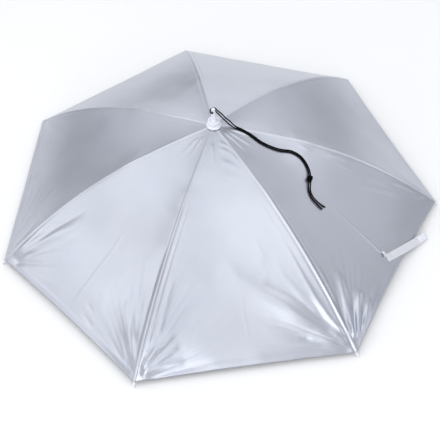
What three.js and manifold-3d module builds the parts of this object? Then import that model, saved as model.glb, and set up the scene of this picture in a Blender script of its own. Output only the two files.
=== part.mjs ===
// Umbrella hat: a silver-coated canopy of seven sewn gores over folding ribs, worn on a headband.
// Millimetres, +Z up. The hat rests on its seven rib tips, as it does on a floor.
// The model is drawn about the hub's axis, with the cloth's corners at height zero, and is then
// stood on its tips, with the middle of its outline over the origin.
import * as THREE from 'three';
import { mergeVertices } from 'three/addons/utils/BufferGeometryUtils.js';
import Module from 'manifold-3d';

// Driving dimensions of the canopy
const GORES = 7;
const CANOPY_RADIUS = 475; // hub axis to a cloth corner, in plan
const CANOPY_RISE = 207; // cloth corners to the cloth's top at the hub
const CLOTH = 1.2; // coated nylon with its seams, as one wall
const FIRST_RIB_DEGREES = 96.7;
const HEM_DRAW = 7; // how far the middle of the slackest hem is drawn in between two tips
const GORE_SAG = 8; // how far the middle of a gore hangs inside the straight chord
const FOLD_HEIGHT = 5; // the deepest pleat at a tip
const RIB_CURVE = { linear: 0.231, square: 0.493, cube: 0.276 }; // shares of the fall along a rib

// Driving dimensions of the frame
const ROD_RADIUS = 1.5;
const ROD_CLEAR = 1.1; // from the cloth's inner face to a rod, so that the sloping gores clear it
const JOINT_RADIUS = 2.9;
const JOINT_LENGTH = 26;
const JOINT_SHARE = 0.375; // of the canopy radius
const TIP_REACH = 12; // of a tip beyond the cloth corner
const TIP_LENGTH = 22;
const TIP_RADIUS = 2.4;
const HUB_RADIUS = 17;
const HUB_DEPTH = 11;
const POST_RADIUS = 7; // of the post through the cap
const POST_NECK_RADIUS = 3.7; // where the cord's hole is
const POST_END_RADIUS = 2.7;
const POST_HEIGHT = 45.5; // over the cloth's top
const HOLE_HEIGHT = 37; // over the cloth's top
const HOLE_RADIUS = 2.1;
const HOLE_DEGREES = 249; // which way the hole's front mouth looks

// Driving dimensions of the cap, the headband, the strap and the cord
const SKIRT_RADIUS = 15;
const SKIRT_HEIGHT = 3;
const BARREL_RADIUS = 12;
const CAP_HEIGHT = 13.5;
const CAP_ROUNDING = 3;
const BAND_RADIUS = 90; // outer face
const BAND_WALL = 2;
const BAND_HEIGHT = 28;
const BAND_DROP = 105; // from the cloth's top to the band's upper edge
const STAY_RADIUS = 1.4;
const STAY_SHARE = 0.3; // where a stay meets its rib, of the canopy radius
const STAY_OVERLAP = 16; // of a stay's foot down the band's outer face
const STRAP_WIDTH = 17;
const STRAP_LENGTH = 130;
const STRAP_ON_CLOTH = 55; // of the length, the rest stands out past the hem
const STRAP_LEVEL = 0.55; // its slope past the hem, as a share of the slope on the cloth
const STRAP_THICK = 1.5;
const STRAP_DEGREES = 36;
const STRAP_ROOT = { gore: 2, share: 0.928, across: 0.503 }; // the middle of its sewn end
const PATCH_LENGTH = 24;
const PATCH_THICK = 1;
const TAB_LENGTH = 13;
const TAB_RADIUS = 3;
const TAB_WALL = 1.2;
const TAB_DEGREES = 112;
const CORD_RADIUS = 1.4;
const KNOT_RADIUS = 4.6;
const KNOT_LENGTH = 13;

// Clearances
const GAP = 0.3;
const LAY = 0.5; // between cloth and what only lies on it

// What follows from the sizes above
const rodDrop = CLOTH + ROD_CLEAR + ROD_RADIUS; // from the cloth's outer face to a rod's middle
const jointLift = JOINT_RADIUS - ROD_RADIUS + 0.2; // how far a rib joint pushes the cloth up

// Each rib stands a little off its even place, as on a hat that has been opened by hand. draw is
// the share of HEM_DRAW on the gore that starts at the rib.
const RIBS = [
  { name: '1', lean: 1.4, draw: 0.7 },
  { name: '2', lean: -0.4, draw: 0.8 },
  { name: '3', lean: -0.7, draw: 1 },
  { name: '4', lean: -0.6, draw: 0.3 },
  { name: '5', lean: -1.7, draw: 0.5 },
  { name: '6', lean: 0.1, draw: 0.1 },
  { name: '7', lean: 1.9, draw: 0.3 },
];

// Main pleats. share and across place a pleat's two ends on its gore: share runs from the hub to
// the corners, across from its first rib to its second. width is a share of the canopy radius and
// height a share of the fold height, below zero for a valley.
const FOLDS = [
  { gore: 2, share: 0.985, across: 0.04, endShare: 0.64, endAcross: 0.24, width: 0.022, height: 0.35 },
  { gore: 2, share: 0.985, across: 0.95, endShare: 0.82, endAcross: 0.84, width: 0.02, height: 0.5 },
  { gore: 2, share: 0.61, across: 0.51, endShare: 0.88, endAcross: 0.5, width: 0.016, height: -0.35 },
  { gore: 3, share: 0.99, across: 0.03, endShare: 0.65, endAcross: 0.56, width: 0.026, height: 0.9 },
  { gore: 3, share: 0.93, across: 0.03, endShare: 0.66, endAcross: 0.42, width: 0.022, height: -0.7 },
  { gore: 3, share: 0.98, across: 0.96, endShare: 0.86, endAcross: 0.84, width: 0.022, height: 0.6 },
  { gore: 4, share: 0.98, across: 0.04, endShare: 0.72, endAcross: 0.07, width: 0.02, height: -0.8 },
  { gore: 4, share: 0.68, across: 0.47, endShare: 0.93, endAcross: 0.5, width: 0.016, height: -0.35 },
  { gore: 4, share: 0.98, across: 0.95, endShare: 0.79, endAcross: 0.8, width: 0.022, height: -0.5 },
];

// The cord goes through the post's hole, and both its ends run down the cloth to the knot. Points
// of each strand near the post: x, y, and the height over the cloth's top.
const STRAND_A_START = [
  { x: -2.6, y: -5.8, up: 37.4 },
  { x: -4.9, y: -4.4, up: 38.2 },
  { x: -5.7, y: -0.6, up: 39.6 },
  { x: -4.2, y: 4.2, up: 40.6 },
  { x: -0.2, y: 6.4, up: 41.0 },
  { x: 4.8, y: 6.2, up: 38.0 },
  { x: 10.2, y: 4.7, up: 31.0 },
  { x: 15.9, y: 3.2, up: 24.6 },
  { x: 22.5, y: 1.6, up: 16.9 },
  { x: 32.1, y: -0.7, up: 6.4 },
];
const STRAND_B_START = [
  { x: 2.6, y: 6.2, up: 36.0 },
  { x: 5.6, y: 4.9, up: 32.0 },
  { x: 8.8, y: 2.6, up: 26.6 },
  { x: 12.8, y: 0.6, up: 21.2 },
  { x: 19.8, y: -1.6, up: 13.2 },
  { x: 26.1, y: -3.4, up: 7.0 },
  { x: 32.4, y: -5.2, up: 1.6 },
];
// The two strands side by side on the cloth: their middle, its height over the cloth, and half
// the distance between them.
const PAIR = [
  { x: 42.0, y: -6.0, up: 2.6, half: 2.4 },
  { x: 51.3, y: -9.6, up: 2.2, half: 1.9 },
  { x: 62.8, y: -15.9, up: 2.2, half: 1.7 },
  { x: 73.7, y: -22.9, up: 2.2, half: 1.7 },
  { x: 89.4, y: -34.6, up: 2.2, half: 1.7 },
  { x: 108.6, y: -43.5, up: 2.2, half: 1.7 },
  { x: 128.1, y: -48.1, up: 2.2, half: 1.7 },
  { x: 151.5, y: -49.0, up: 2.2, half: 1.7 },
  { x: 167.6, y: -56.3, up: 2.2, half: 1.7 },
  { x: 176.6, y: -66.9, up: 2.2, half: 1.7 },
  { x: 182.2, y: -80.0, up: 2.6, half: 1.7 },
  { x: 183.6, y: -88.6, up: 3.6, half: 1.7 },
];
const KNOT = { x: 183.2, y: -101.6, up: 5.6 };
const TAIL_A = [
  { x: 183.9, y: -112.4, up: 4.4 },
  { x: 182.6, y: -119.6, up: 3.0 },
  { x: 183.0, y: -128.0, up: 2.2 },
  { x: 187.6, y: -137.9, up: 2.2 },
  { x: 195.8, y: -145.4, up: 2.2 },
  { x: 203.4, y: -149.6, up: 2.2 },
  { x: 210.3, y: -152.3, up: 2.2 },
];
const TAIL_B = [
  { x: 180.2, y: -112.4, up: 4.4 },
  { x: 178.8, y: -120.4, up: 3.0 },
  { x: 179.6, y: -129.6, up: 2.2 },
  { x: 184.0, y: -140.4, up: 2.2 },
  { x: 192.3, y: -149.6, up: 2.2 },
  { x: 198.7, y: -155.2, up: 2.2 },
  { x: 203.8, y: -158.2, up: 2.2 },
];

// How finely the round and curved pieces are cut into facets
const GORE_STEPS = [0, 0.08, 0.19, 0.29, 0.333, 0.394, 0.44, 0.54, 0.63, 0.71, 0.78, 0.84, 0.89, 0.935, 0.97, 1];
const GORE_COLUMNS = [0, 0.04, 0.1, 0.2, 0.34, 0.5, 0.66, 0.8, 0.9, 0.96, 1];
const ROD_SIDES = 8;
const HUB_SIDES = 24;
const BAND_SIDES = 48;
const TURN = 2 * Math.PI;

const wasm = await Module();
wasm.setup();

// Materials
const paint = (color, roughness, metalness) => () =>
  new THREE.MeshStandardMaterial({ color, roughness, metalness });
const silverCloth = paint(0xbfc4d2, 0.5, 0.35);
const whitePlastic = paint(0xf0f0f4, 0.4, 0);
const steel = paint(0x9a9ca2, 0.35, 0.9);
const blackElastic = paint(0x202024, 0.9, 0);
const blackCord = paint(0x141416, 0.85, 0);
const whiteWebbing = paint(0xdcdce6, 0.8, 0);
const whiteHook = paint(0xe6e4f4, 0.6, 0);

const group = new THREE.Group();
function add(name, geometry, material) {
  const mesh = new THREE.Mesh(geometry, material());
  mesh.name = name;
  group.add(mesh);
  return mesh;
}

// The height field of the canopy

const ribAngle = (k) => {
  const turn = FIRST_RIB_DEGREES - (k * 360) / GORES + RIBS[((k % GORES) + GORES) % GORES].lean;
  return THREE.MathUtils.degToRad(turn);
};
const ribWay = (k) => new THREE.Vector2(Math.cos(ribAngle(k)), Math.sin(ribAngle(k)));
const ribFall = (share) =>
  RIB_CURVE.linear * share + RIB_CURVE.square * share ** 2 + RIB_CURVE.cube * share ** 3;
const ribSlope = (share) =>
  (-CANOPY_RISE / CANOPY_RADIUS) *
  (RIB_CURVE.linear + 2 * RIB_CURVE.square * share + 3 * RIB_CURVE.cube * share ** 2);

// Plan position of a place on a gore: a share of the way out, and a share of the way across
function planPoint(gore, share, across) {
  const first = ribWay(gore);
  const second = ribWay(gore + 1);
  return first.lerp(second, across).multiplyScalar(share * CANOPY_RADIUS);
}

// Height of one pleat: a round-topped ridge between two places, fading towards its inner end
function foldHeight(fold, point) {
  const start = planPoint(fold.gore, fold.share, fold.across);
  const end = planPoint(fold.gore, fold.endShare, fold.endAcross);
  const way = end.clone().sub(start);
  const along = THREE.MathUtils.clamp(point.clone().sub(start).dot(way) / way.lengthSq(), 0, 1);
  const nearest = start.clone().addScaledVector(way, along);
  const width = fold.width * CANOPY_RADIUS;
  const bell = Math.exp(-((point.distanceTo(nearest) / width) ** 2));
  return fold.height * FOLD_HEIGHT * bell * (1 - along) ** 0.7;
}

function clothHeight(gore, share, across) {
  const middle = 4 * across * (1 - across);
  const sag = GORE_SAG * middle * Math.sin(Math.PI * Math.min(share, 1) ** 1.4) ** 0.8;
  const nearRib = Math.exp(-((Math.min(across, 1 - across) * share * 12) ** 2));
  const lift = jointLift * nearRib * Math.exp(-(((share - JOINT_SHARE) / 0.05) ** 4));
  const point = planPoint(gore, share, across);
  const inside = Math.min(1, middle * 8);
  const pleats = FOLDS.filter((fold) => fold.gore === gore)
    .reduce((sum, fold) => sum + foldHeight(fold, point) * inside, 0);
  return CANOPY_RISE * (1 - ribFall(share)) - sag + lift + pleats;
}

// The gore, share and across of a plan point
function placeOf(x, y) {
  for (let gore = 0; gore < GORES; gore += 1) {
    const first = ribWay(gore);
    const second = ribWay(gore + 1);
    const cross = first.x * second.y - first.y * second.x;
    const a = (x * second.y - y * second.x) / cross / CANOPY_RADIUS;
    const b = (first.x * y - first.y * x) / cross / CANOPY_RADIUS;
    if (a >= 0 && b >= 0) {
      return { gore, share: a + b, across: b / Math.max(a + b, 1e-9) };
    }
  }
  return { gore: 0, share: 0, across: 0 };
}
function heightAt(x, y) {
  const place = placeOf(x, y);
  return clothHeight(place.gore, place.share, place.across);
}

// Solids from two faces: rows and columns of points on the outer face and on the inner one
function wallSolid(outer, inner) {
  const rows = outer.length;
  const columns = outer[0].length;
  const points = [...outer.flat(), ...inner.flat()];
  const count = rows * columns;
  const at = (i, j, side) => side * count + i * columns + j;
  const index = [];
  const quad = (a, b, c, d) => index.push(a, b, c, a, c, d);
  for (let i = 0; i < rows - 1; i += 1) {
    for (let j = 0; j < columns - 1; j += 1) {
      quad(at(i, j, 0), at(i + 1, j, 0), at(i + 1, j + 1, 0), at(i, j + 1, 0));
      quad(at(i, j, 1), at(i, j + 1, 1), at(i + 1, j + 1, 1), at(i + 1, j, 1));
    }
  }
  for (let i = 0; i < rows - 1; i += 1) {
    quad(at(i, 0, 0), at(i, 0, 1), at(i + 1, 0, 1), at(i + 1, 0, 0));
    quad(at(i, columns - 1, 0), at(i + 1, columns - 1, 0), at(i + 1, columns - 1, 1), at(i, columns - 1, 1));
  }
  for (let j = 0; j < columns - 1; j += 1) {
    quad(at(0, j, 0), at(0, j + 1, 0), at(0, j + 1, 1), at(0, j, 1));
    quad(at(rows - 1, j, 0), at(rows - 1, j, 1), at(rows - 1, j + 1, 1), at(rows - 1, j + 1, 0));
  }
  const geometry = new THREE.BufferGeometry();
  geometry.setAttribute('position', new THREE.Float32BufferAttribute(points.flatMap((p) => p.toArray()), 3));
  geometry.setIndex(index);
  geometry.computeVertexNormals();
  return geometry;
}

// A round rod along a smooth path
function rodSolid(points, radius, steps, sides = ROD_SIDES) {
  const ring = Array.from({ length: sides }, (_, i) => {
    const turn = (TURN * (i + 0.5)) / sides;
    return new THREE.Vector2(radius * Math.cos(turn), radius * Math.sin(turn));
  });
  const path = new THREE.CatmullRomCurve3(points, false, 'centripetal');
  return new THREE.ExtrudeGeometry(new THREE.Shape(ring), { steps, extrudePath: path, bevelEnabled: false });
}

// A turned piece: rows of radius and height
function turned(rows, sides) {
  return new THREE.LatheGeometry(rows.map(([r, z]) => new THREE.Vector2(r, z)), sides).rotateX(Math.PI / 2);
}

// Points just under a rib's ridge
const ridgeNormal = (k, share) => {
  const way = ribWay(k);
  const slope = ribSlope(share);
  return new THREE.Vector3(-slope * way.x, -slope * way.y, 1).normalize();
};
function ribPoint(k, share, drop) {
  const way = ribWay(k).multiplyScalar(share * CANOPY_RADIUS);
  const ridge = new THREE.Vector3(way.x, way.y, CANOPY_RISE * (1 - ribFall(share)));
  return ridge.addScaledVector(ridgeNormal(k, share), -drop);
}

// Canopy gores

const halfGore = Math.PI / GORES;
const goreStart = (POST_RADIUS + 2 * GAP) / Math.cos(halfGore) / CANOPY_RADIUS;

function gorePoint(gore, step, column, depth) {
  const middle = 4 * column * (1 - column);
  const drawn = ((RIBS[gore].draw * HEM_DRAW) / CANOPY_RADIUS) * middle * step ** 3;
  const share = goreStart + (1 - goreStart) * step - drawn;
  const chord = 2 * Math.sin(halfGore) * share * CANOPY_RADIUS;
  const across = THREE.MathUtils.lerp(GAP / 2 / chord, 1 - GAP / 2 / chord, column);
  const plan = planPoint(gore, share, across);
  const normal = ridgeNormal(gore, share).lerp(ridgeNormal(gore + 1, share), across).normalize();
  return new THREE.Vector3(plan.x, plan.y, clothHeight(gore, share, across)).addScaledVector(normal, -depth);
}
function goreSolid(gore) {
  const face = (depth) => GORE_STEPS.map((step) =>
    GORE_COLUMNS.map((column) => gorePoint(gore, step, column, depth)).reverse());
  return wallSolid(face(0), face(CLOTH));
}
for (let k = 0; k < GORES; k += 1) {
  add(`canopy_gore_${k + 1}`, goreSolid(k), silverCloth);
}

// Ribs: an inner rod from the hub, a joint sleeve, an outer rod and a moulded tip

const innerEnd = JOINT_SHARE - JOINT_LENGTH / 2 / CANOPY_RADIUS;
const outerStart = JOINT_SHARE + JOINT_LENGTH / 2 / CANOPY_RADIUS;
const ribStart = (HUB_RADIUS + 3 * GAP) / CANOPY_RADIUS;
const endWay = (k) => {
  const way = ribWay(k);
  return new THREE.Vector3(way.x, way.y, ribSlope(1)).normalize();
};

function ribRod(k, from, to, steps) {
  const points = Array.from({ length: steps + 1 }, (_, i) =>
    ribPoint(k, THREE.MathUtils.lerp(from, to, i / steps), rodDrop));
  return rodSolid(points, ROD_RADIUS, steps);
}
function turnedAlong(rows, start, way, sides) {
  const geometry = turned(rows, sides);
  geometry.applyQuaternion(new THREE.Quaternion().setFromUnitVectors(new THREE.Vector3(0, 0, 1), way));
  return geometry.translate(start.x, start.y, start.z);
}
const tipBack = TIP_LENGTH - TIP_REACH; // how far a tip reaches back under the cloth
const outerEnd = 1 - (tipBack + GAP) * Math.cos(Math.atan(ribSlope(1))) / CANOPY_RADIUS;

for (let k = 0; k < GORES; k += 1) {
  const { name } = RIBS[k];
  add(`rib_inner_${name}`, ribRod(k, ribStart, innerEnd - GAP / CANOPY_RADIUS, 5), steel);
  add(`rib_outer_${name}`, ribRod(k, outerStart + GAP / CANOPY_RADIUS, outerEnd, 7), steel);

  const jointStart = ribPoint(k, innerEnd, rodDrop);
  const jointEnd = ribPoint(k, outerStart, rodDrop);
  const length = jointEnd.distanceTo(jointStart);
  const joint = [[0, 0], [JOINT_RADIUS * 0.8, 0], [JOINT_RADIUS, 2], [JOINT_RADIUS, length - 2],
    [JOINT_RADIUS * 0.8, length], [0, length]];
  add(`rib_joint_${name}`, turnedAlong(joint, jointStart, jointEnd.clone().sub(jointStart).normalize(), 8), whitePlastic);

  const back = ribPoint(k, 1, rodDrop).addScaledVector(endWay(k), -tipBack);
  const tip = [[0, 0], [ROD_RADIUS, 0], [ROD_RADIUS * 1.1, tipBack], [TIP_RADIUS, tipBack + 2],
    [TIP_RADIUS, TIP_LENGTH - TIP_RADIUS], [TIP_RADIUS * 0.7, TIP_LENGTH - TIP_RADIUS * 0.3], [0, TIP_LENGTH]];
  add(`rib_tip_${name}`, turnedAlong(tip, back, endWay(k), 8), whitePlastic);
}

// Hub: a flange under the cloth and a tapered post through it, with a cross hole for the cord

const underCloth = (radius) => {
  const share = radius / CANOPY_RADIUS / Math.cos(halfGore);
  return clothHeight(0, share, 0.5) - CLOTH - GAP;
};
function hubSolid() {
  const top = underCloth(HUB_RADIUS);
  const apex = CANOPY_RISE;
  const rows = [
    [0, top - HUB_DEPTH],
    [HUB_RADIUS, top - HUB_DEPTH],
    [HUB_RADIUS, top],
    [POST_RADIUS, underCloth(POST_RADIUS)],
    [POST_RADIUS, apex + CAP_HEIGHT],
    [(POST_RADIUS + POST_NECK_RADIUS) / 2, apex + CAP_HEIGHT + 6],
    [POST_NECK_RADIUS * 1.08, apex + (CAP_HEIGHT + HOLE_HEIGHT) / 2 + 3],
    [POST_NECK_RADIUS, apex + HOLE_HEIGHT],
    [POST_END_RADIUS * 1.15, apex + POST_HEIGHT - 1.6],
    [POST_END_RADIUS * 0.7, apex + POST_HEIGHT],
    [0, apex + POST_HEIGHT],
  ];
  const drill = new THREE.CylinderGeometry(HOLE_RADIUS, HOLE_RADIUS, 4 * POST_RADIUS, 16);
  drill.rotateZ(Math.PI / 2).rotateZ(THREE.MathUtils.degToRad(HOLE_DEGREES));
  drill.translate(0, 0, apex + HOLE_HEIGHT);
  return cut(turned(rows, HUB_SIDES), drill);
}

// Booleans
function toManifold(geometry) {
  const bare = geometry.clone();
  bare.deleteAttribute('normal');
  bare.deleteAttribute('uv');
  const merged = mergeVertices(bare);
  const vertProperties = new Float32Array(merged.attributes.position.array);
  const triVerts = new Uint32Array(merged.index.array);
  return new wasm.Manifold(new wasm.Mesh({ numProp: 3, vertProperties, triVerts }));
}
function cut(body, tool) {
  const mesh = toManifold(body).subtract(toManifold(tool)).getMesh();
  const geometry = new THREE.BufferGeometry();
  geometry.setAttribute('position', new THREE.BufferAttribute(new Float32Array(mesh.vertProperties), 3));
  geometry.setIndex(new THREE.BufferAttribute(new Uint32Array(mesh.triVerts), 1));
  geometry.computeVertexNormals();
  return geometry;
}
add('hub', hubSolid(), whitePlastic);

// Cap: a skirt and a barrel around the post, seated on the cloth

const capFoot = clothHeight(0, goreStart, 0) + GAP;
const capBore = POST_RADIUS + GAP;
const capTop = CANOPY_RISE + CAP_HEIGHT;
const round = (part) => CAP_ROUNDING * (1 - Math.cos((part * Math.PI) / 2));
const rise = (part) => CAP_ROUNDING * Math.sin((part * Math.PI) / 2);
add('ferrule_cap', turned([
  [capBore, capFoot],
  [SKIRT_RADIUS, capFoot],
  [SKIRT_RADIUS, capFoot + SKIRT_HEIGHT - 1],
  [SKIRT_RADIUS - 1, capFoot + SKIRT_HEIGHT],
  [BARREL_RADIUS, capFoot + SKIRT_HEIGHT],
  ...[0, 0.34, 0.67, 1].map((part) => [BARREL_RADIUS - round(part), capTop - CAP_ROUNDING + rise(part)]),
  [capBore, capTop],
  [capBore, capFoot],
], HUB_SIDES), whitePlastic);

// Headband, held by a stay from each rib

const bandTop = CANOPY_RISE - BAND_DROP;
const bandInner = BAND_RADIUS - BAND_WALL;
add('headband', turned([
  [bandInner, bandTop - BAND_HEIGHT],
  [BAND_RADIUS, bandTop - BAND_HEIGHT],
  [BAND_RADIUS, bandTop],
  [bandInner, bandTop],
  [bandInner, bandTop - BAND_HEIGHT],
], BAND_SIDES), blackElastic);

function stayPath(k) {
  const drop = rodDrop + ROD_RADIUS + GAP;
  const way = ribWay(k);
  const foot = BAND_RADIUS + GAP + STAY_RADIUS;
  const at = (radius, height) => new THREE.Vector3(way.x * radius, way.y * radius, height);
  return [
    ribPoint(k, STAY_SHARE, drop),
    ribPoint(k, STAY_SHARE, drop + 6),
    at(foot + 6, bandTop + 12),
    at(foot, bandTop - 2),
    at(foot, bandTop - STAY_OVERLAP),
  ];
}
for (let k = 0; k < GORES; k += 1) {
  add(`head_stay_${RIBS[k].name}`, rodSolid(stayPath(k), STAY_RADIUS, 8), whitePlastic);
}

// Closing strap: sewn to the gore at a small folded tab, it lies out over the hem

const wayOf = (degrees) => {
  const turn = THREE.MathUtils.degToRad(degrees);
  return new THREE.Vector2(Math.cos(turn), Math.sin(turn));
};
const strapRoot = planPoint(STRAP_ROOT.gore, STRAP_ROOT.share, STRAP_ROOT.across);
const strapWay = wayOf(STRAP_DEGREES);
const strapSide = wayOf(STRAP_DEGREES + 90);

// Slope of the cloth at the strap's root along a direction, and the plan length of a unit on it
const slopeAlong = (way) =>
  heightAt(strapRoot.x + way.x, strapRoot.y + way.y) - heightAt(strapRoot.x, strapRoot.y);
const planUnit = (way) => 1 / Math.hypot(1, slopeAlong(way));
const alongUnit = planUnit(strapWay);
const asideUnit = planUnit(strapSide);

// A point on the strap: on the cloth up to the hem, then straight on beyond it
function strapPoint(along, aside, lift) {
  const at = (t) => strapRoot.clone()
    .addScaledVector(strapWay, t * alongUnit)
    .addScaledVector(strapSide, aside * asideUnit);
  const height = (t) => heightAt(at(t).x, at(t).y);
  const slope = STRAP_LEVEL * (height(STRAP_ON_CLOTH) - height(STRAP_ON_CLOTH - 10)) / 10;
  const plan = at(along);
  const past = Math.max(0, along - STRAP_ON_CLOTH);
  const cloth = height(along - past) + slope * past;
  return new THREE.Vector3(plan.x, plan.y, cloth + LAY + lift);
}
function stripSolid(from, to, steps, halfWidth, low, high) {
  const face = (lift) => Array.from({ length: steps + 1 }, (_, i) =>
    [-1, 0, 1].map((side) => strapPoint(THREE.MathUtils.lerp(from, to, i / steps), side * halfWidth, lift)));
  return wallSolid(face(high), face(low));
}
add('closing_strap', stripSolid(0, STRAP_LENGTH, 10, STRAP_WIDTH / 2, 0, STRAP_THICK), whiteWebbing);
add('strap_hook_patch', stripSolid(STRAP_LENGTH - PATCH_LENGTH - 2, STRAP_LENGTH - 2, 2, STRAP_WIDTH / 2 - 1,
  STRAP_THICK + GAP, STRAP_THICK + GAP + PATCH_THICK), whiteHook);

// The tab is an arch of the same webbing, bent over beside the strap's sewn end
function tabSolid() {
  const arch = new THREE.Shape();
  arch.absarc(0, 0, TAB_RADIUS, 0, Math.PI, false);
  arch.absarc(0, 0, TAB_RADIUS - TAB_WALL, Math.PI, 0, true);
  const tab = new THREE.ExtrudeGeometry(arch, { depth: TAB_LENGTH, steps: 1, curveSegments: 8, bevelEnabled: false });
  return tab.rotateX(Math.PI / 2).translate(0, TAB_LENGTH / 2, 0);
}
const tabMiddle = strapRoot.clone()
  .addScaledVector(strapWay, -(TAB_RADIUS + LAY))
  .addScaledVector(strapSide, (STRAP_WIDTH / 2) * asideUnit + TAB_LENGTH * 0.4);
const tabTilt = new THREE.Vector3(
  heightAt(tabMiddle.x - TAB_RADIUS, tabMiddle.y) - heightAt(tabMiddle.x + TAB_RADIUS, tabMiddle.y),
  heightAt(tabMiddle.x, tabMiddle.y - TAB_RADIUS) - heightAt(tabMiddle.x, tabMiddle.y + TAB_RADIUS),
  2 * TAB_RADIUS,
).normalize();
const up = new THREE.Vector3(0, 0, 1);
const tab = add('strap_tab', tabSolid(), whiteWebbing);
tab.quaternion.setFromUnitVectors(up, tabTilt);
tab.quaternion.multiply(new THREE.Quaternion().setFromAxisAngle(up, THREE.MathUtils.degToRad(TAB_DEGREES - 90)));
tab.position.set(tabMiddle.x, tabMiddle.y, heightAt(tabMiddle.x, tabMiddle.y)).addScaledVector(tabTilt, LAY);

// Cord: two strands from the post's hole to the knot, and two tails beyond it

const overApex = ({ x, y, up }) => new THREE.Vector3(x, y, CANOPY_RISE + up);
const overCloth = ({ x, y, up }) => new THREE.Vector3(x, y, heightAt(x, y) + up);
const knotCentre = overCloth(KNOT);
const pairWay = (i) => {
  const before = PAIR[Math.max(i - 1, 0)];
  const after = PAIR[Math.min(i + 1, PAIR.length - 1)];
  return new THREE.Vector2(after.x - before.x, after.y - before.y).normalize();
};
const pairSide = (side) => PAIR.map((row, i) => {
  const way = pairWay(i);
  const x = row.x - way.y * row.half * side;
  const y = row.y + way.x * row.half * side;
  return overCloth({ x, y, up: row.up });
});
// The knot's own line runs from the strands to the tails
const knotWay = overCloth(TAIL_A[0]).add(overCloth(TAIL_B[0])).multiplyScalar(0.5)
  .sub(overCloth(PAIR[PAIR.length - 1])).normalize();
const knotSide = new THREE.Vector3(-knotWay.y, knotWay.x, 0).normalize();
const knotFace = (end, side, away = 0) => knotCentre.clone()
  .addScaledVector(knotWay, end * (KNOT_LENGTH / 2 + GAP + away))
  .addScaledVector(knotSide, side * (CORD_RADIUS + GAP));
const holeWay = new THREE.Vector3(wayOf(HOLE_DEGREES).x, wayOf(HOLE_DEGREES).y, 0);
const holePoint = (distance) => new THREE.Vector3(0, 0, CANOPY_RISE + HOLE_HEIGHT).addScaledVector(holeWay, distance);

function strand(start, mouth, side) {
  return [
    holePoint(mouth * GAP / 2),
    holePoint(mouth * (POST_NECK_RADIUS + CORD_RADIUS)),
    ...start.map(overApex),
    ...pairSide(side),
    knotFace(-1, side, CORD_RADIUS),
    knotFace(-1, side),
  ];
}
add('cord_strand_a', rodSolid(strand(STRAND_A_START, 1, 1), CORD_RADIUS, 36), blackCord);
add('cord_strand_b', rodSolid(strand(STRAND_B_START, -1, -1), CORD_RADIUS, 32), blackCord);
add('cord_knot', turnedAlong([[0, 0], [KNOT_RADIUS * 0.85, 0], [KNOT_RADIUS, KNOT_LENGTH * 0.25],
  [KNOT_RADIUS, KNOT_LENGTH * 0.75], [KNOT_RADIUS * 0.85, KNOT_LENGTH], [0, KNOT_LENGTH]],
knotCentre.clone().addScaledVector(knotWay, -KNOT_LENGTH / 2), knotWay, 12), blackCord);
add('cord_tail_a', rodSolid([knotFace(1, 1), knotFace(1, 1, CORD_RADIUS), ...TAIL_A.map(overCloth)], CORD_RADIUS, 7), blackCord);
add('cord_tail_b', rodSolid([knotFace(1, -1), knotFace(1, -1, CORD_RADIUS), ...TAIL_B.map(overCloth)], CORD_RADIUS, 7), blackCord);

// The hat stands on its tips, with the middle of its outline over the origin
const outline = new THREE.Box3();
group.updateMatrixWorld(true);
for (const mesh of group.children) {
  if (!mesh.name.startsWith('cord')) outline.expandByObject(mesh, true);
}
const middle = outline.getCenter(new THREE.Vector3());
group.position.set(-middle.x, -middle.y, -outline.min.z);
group.updateMatrixWorld(true);

export default group;
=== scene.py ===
# %% [markdown]
# # An umbrella hat, from frame to finish
# The hat is an umbrella worn on a headband: seven gores of silver-coated cloth over seven folding
# ribs, a pierced top post with a cap, a black carrying cord, a strap to tie the folded hat.
# A measured frame holds every piece at its real size. This lesson dresses that frame: each piece
# becomes a fine surface worked out with numpy, and gets a finish built from shader nodes.

import bpy
import numpy as np
from mathutils import Matrix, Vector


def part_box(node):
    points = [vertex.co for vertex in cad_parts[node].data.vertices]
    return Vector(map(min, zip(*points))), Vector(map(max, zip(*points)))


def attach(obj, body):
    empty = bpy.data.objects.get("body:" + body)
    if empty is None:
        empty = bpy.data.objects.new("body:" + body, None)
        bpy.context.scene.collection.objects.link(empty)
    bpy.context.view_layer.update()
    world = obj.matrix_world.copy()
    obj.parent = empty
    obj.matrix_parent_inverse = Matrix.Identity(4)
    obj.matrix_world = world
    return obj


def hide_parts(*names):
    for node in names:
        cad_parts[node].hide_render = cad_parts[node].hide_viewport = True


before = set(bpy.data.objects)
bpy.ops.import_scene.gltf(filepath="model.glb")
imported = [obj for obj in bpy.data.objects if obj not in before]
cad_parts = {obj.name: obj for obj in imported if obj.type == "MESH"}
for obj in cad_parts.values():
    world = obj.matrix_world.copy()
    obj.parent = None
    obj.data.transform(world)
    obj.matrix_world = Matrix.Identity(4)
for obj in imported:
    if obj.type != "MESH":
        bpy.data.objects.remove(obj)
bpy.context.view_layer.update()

MM = 0.001
GAP = 0.3 * MM

# %% [markdown]
# ## Where things are
# The hub's axis is the natural middle of the hat, so all shapes are worked out about it. The hub's
# box in the frame gives that axis, and the post's top gives the height. Everything below is then a
# distance from the axis, as a maker would measure it.

# %% Sizes of the canopy
GORES = 7
RADIUS = 475 * MM
RISE = 207 * MM
POST_HEIGHT = 45.5 * MM
FIRST_RIB = 96.7
RIB_LEAN = np.array([1.4, -0.4, -0.7, -0.6, -1.7, 0.1, 1.9])
HEM_DRAW = 7 * MM * np.array([0.7, 0.8, 1.0, 0.3, 0.5, 0.1, 0.3])
GORE_SAG = 8 * MM
FALL = (0.231, 0.493, 0.276)
HALF_GORE = np.pi / GORES

hub_low, hub_high = (np.array(corner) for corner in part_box("hub"))
AXIS = np.array([*(hub_low + hub_high)[:2] / 2, hub_high[2] - POST_HEIGHT - RISE])
print("hub axis at", np.round(AXIS, 4))

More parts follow.
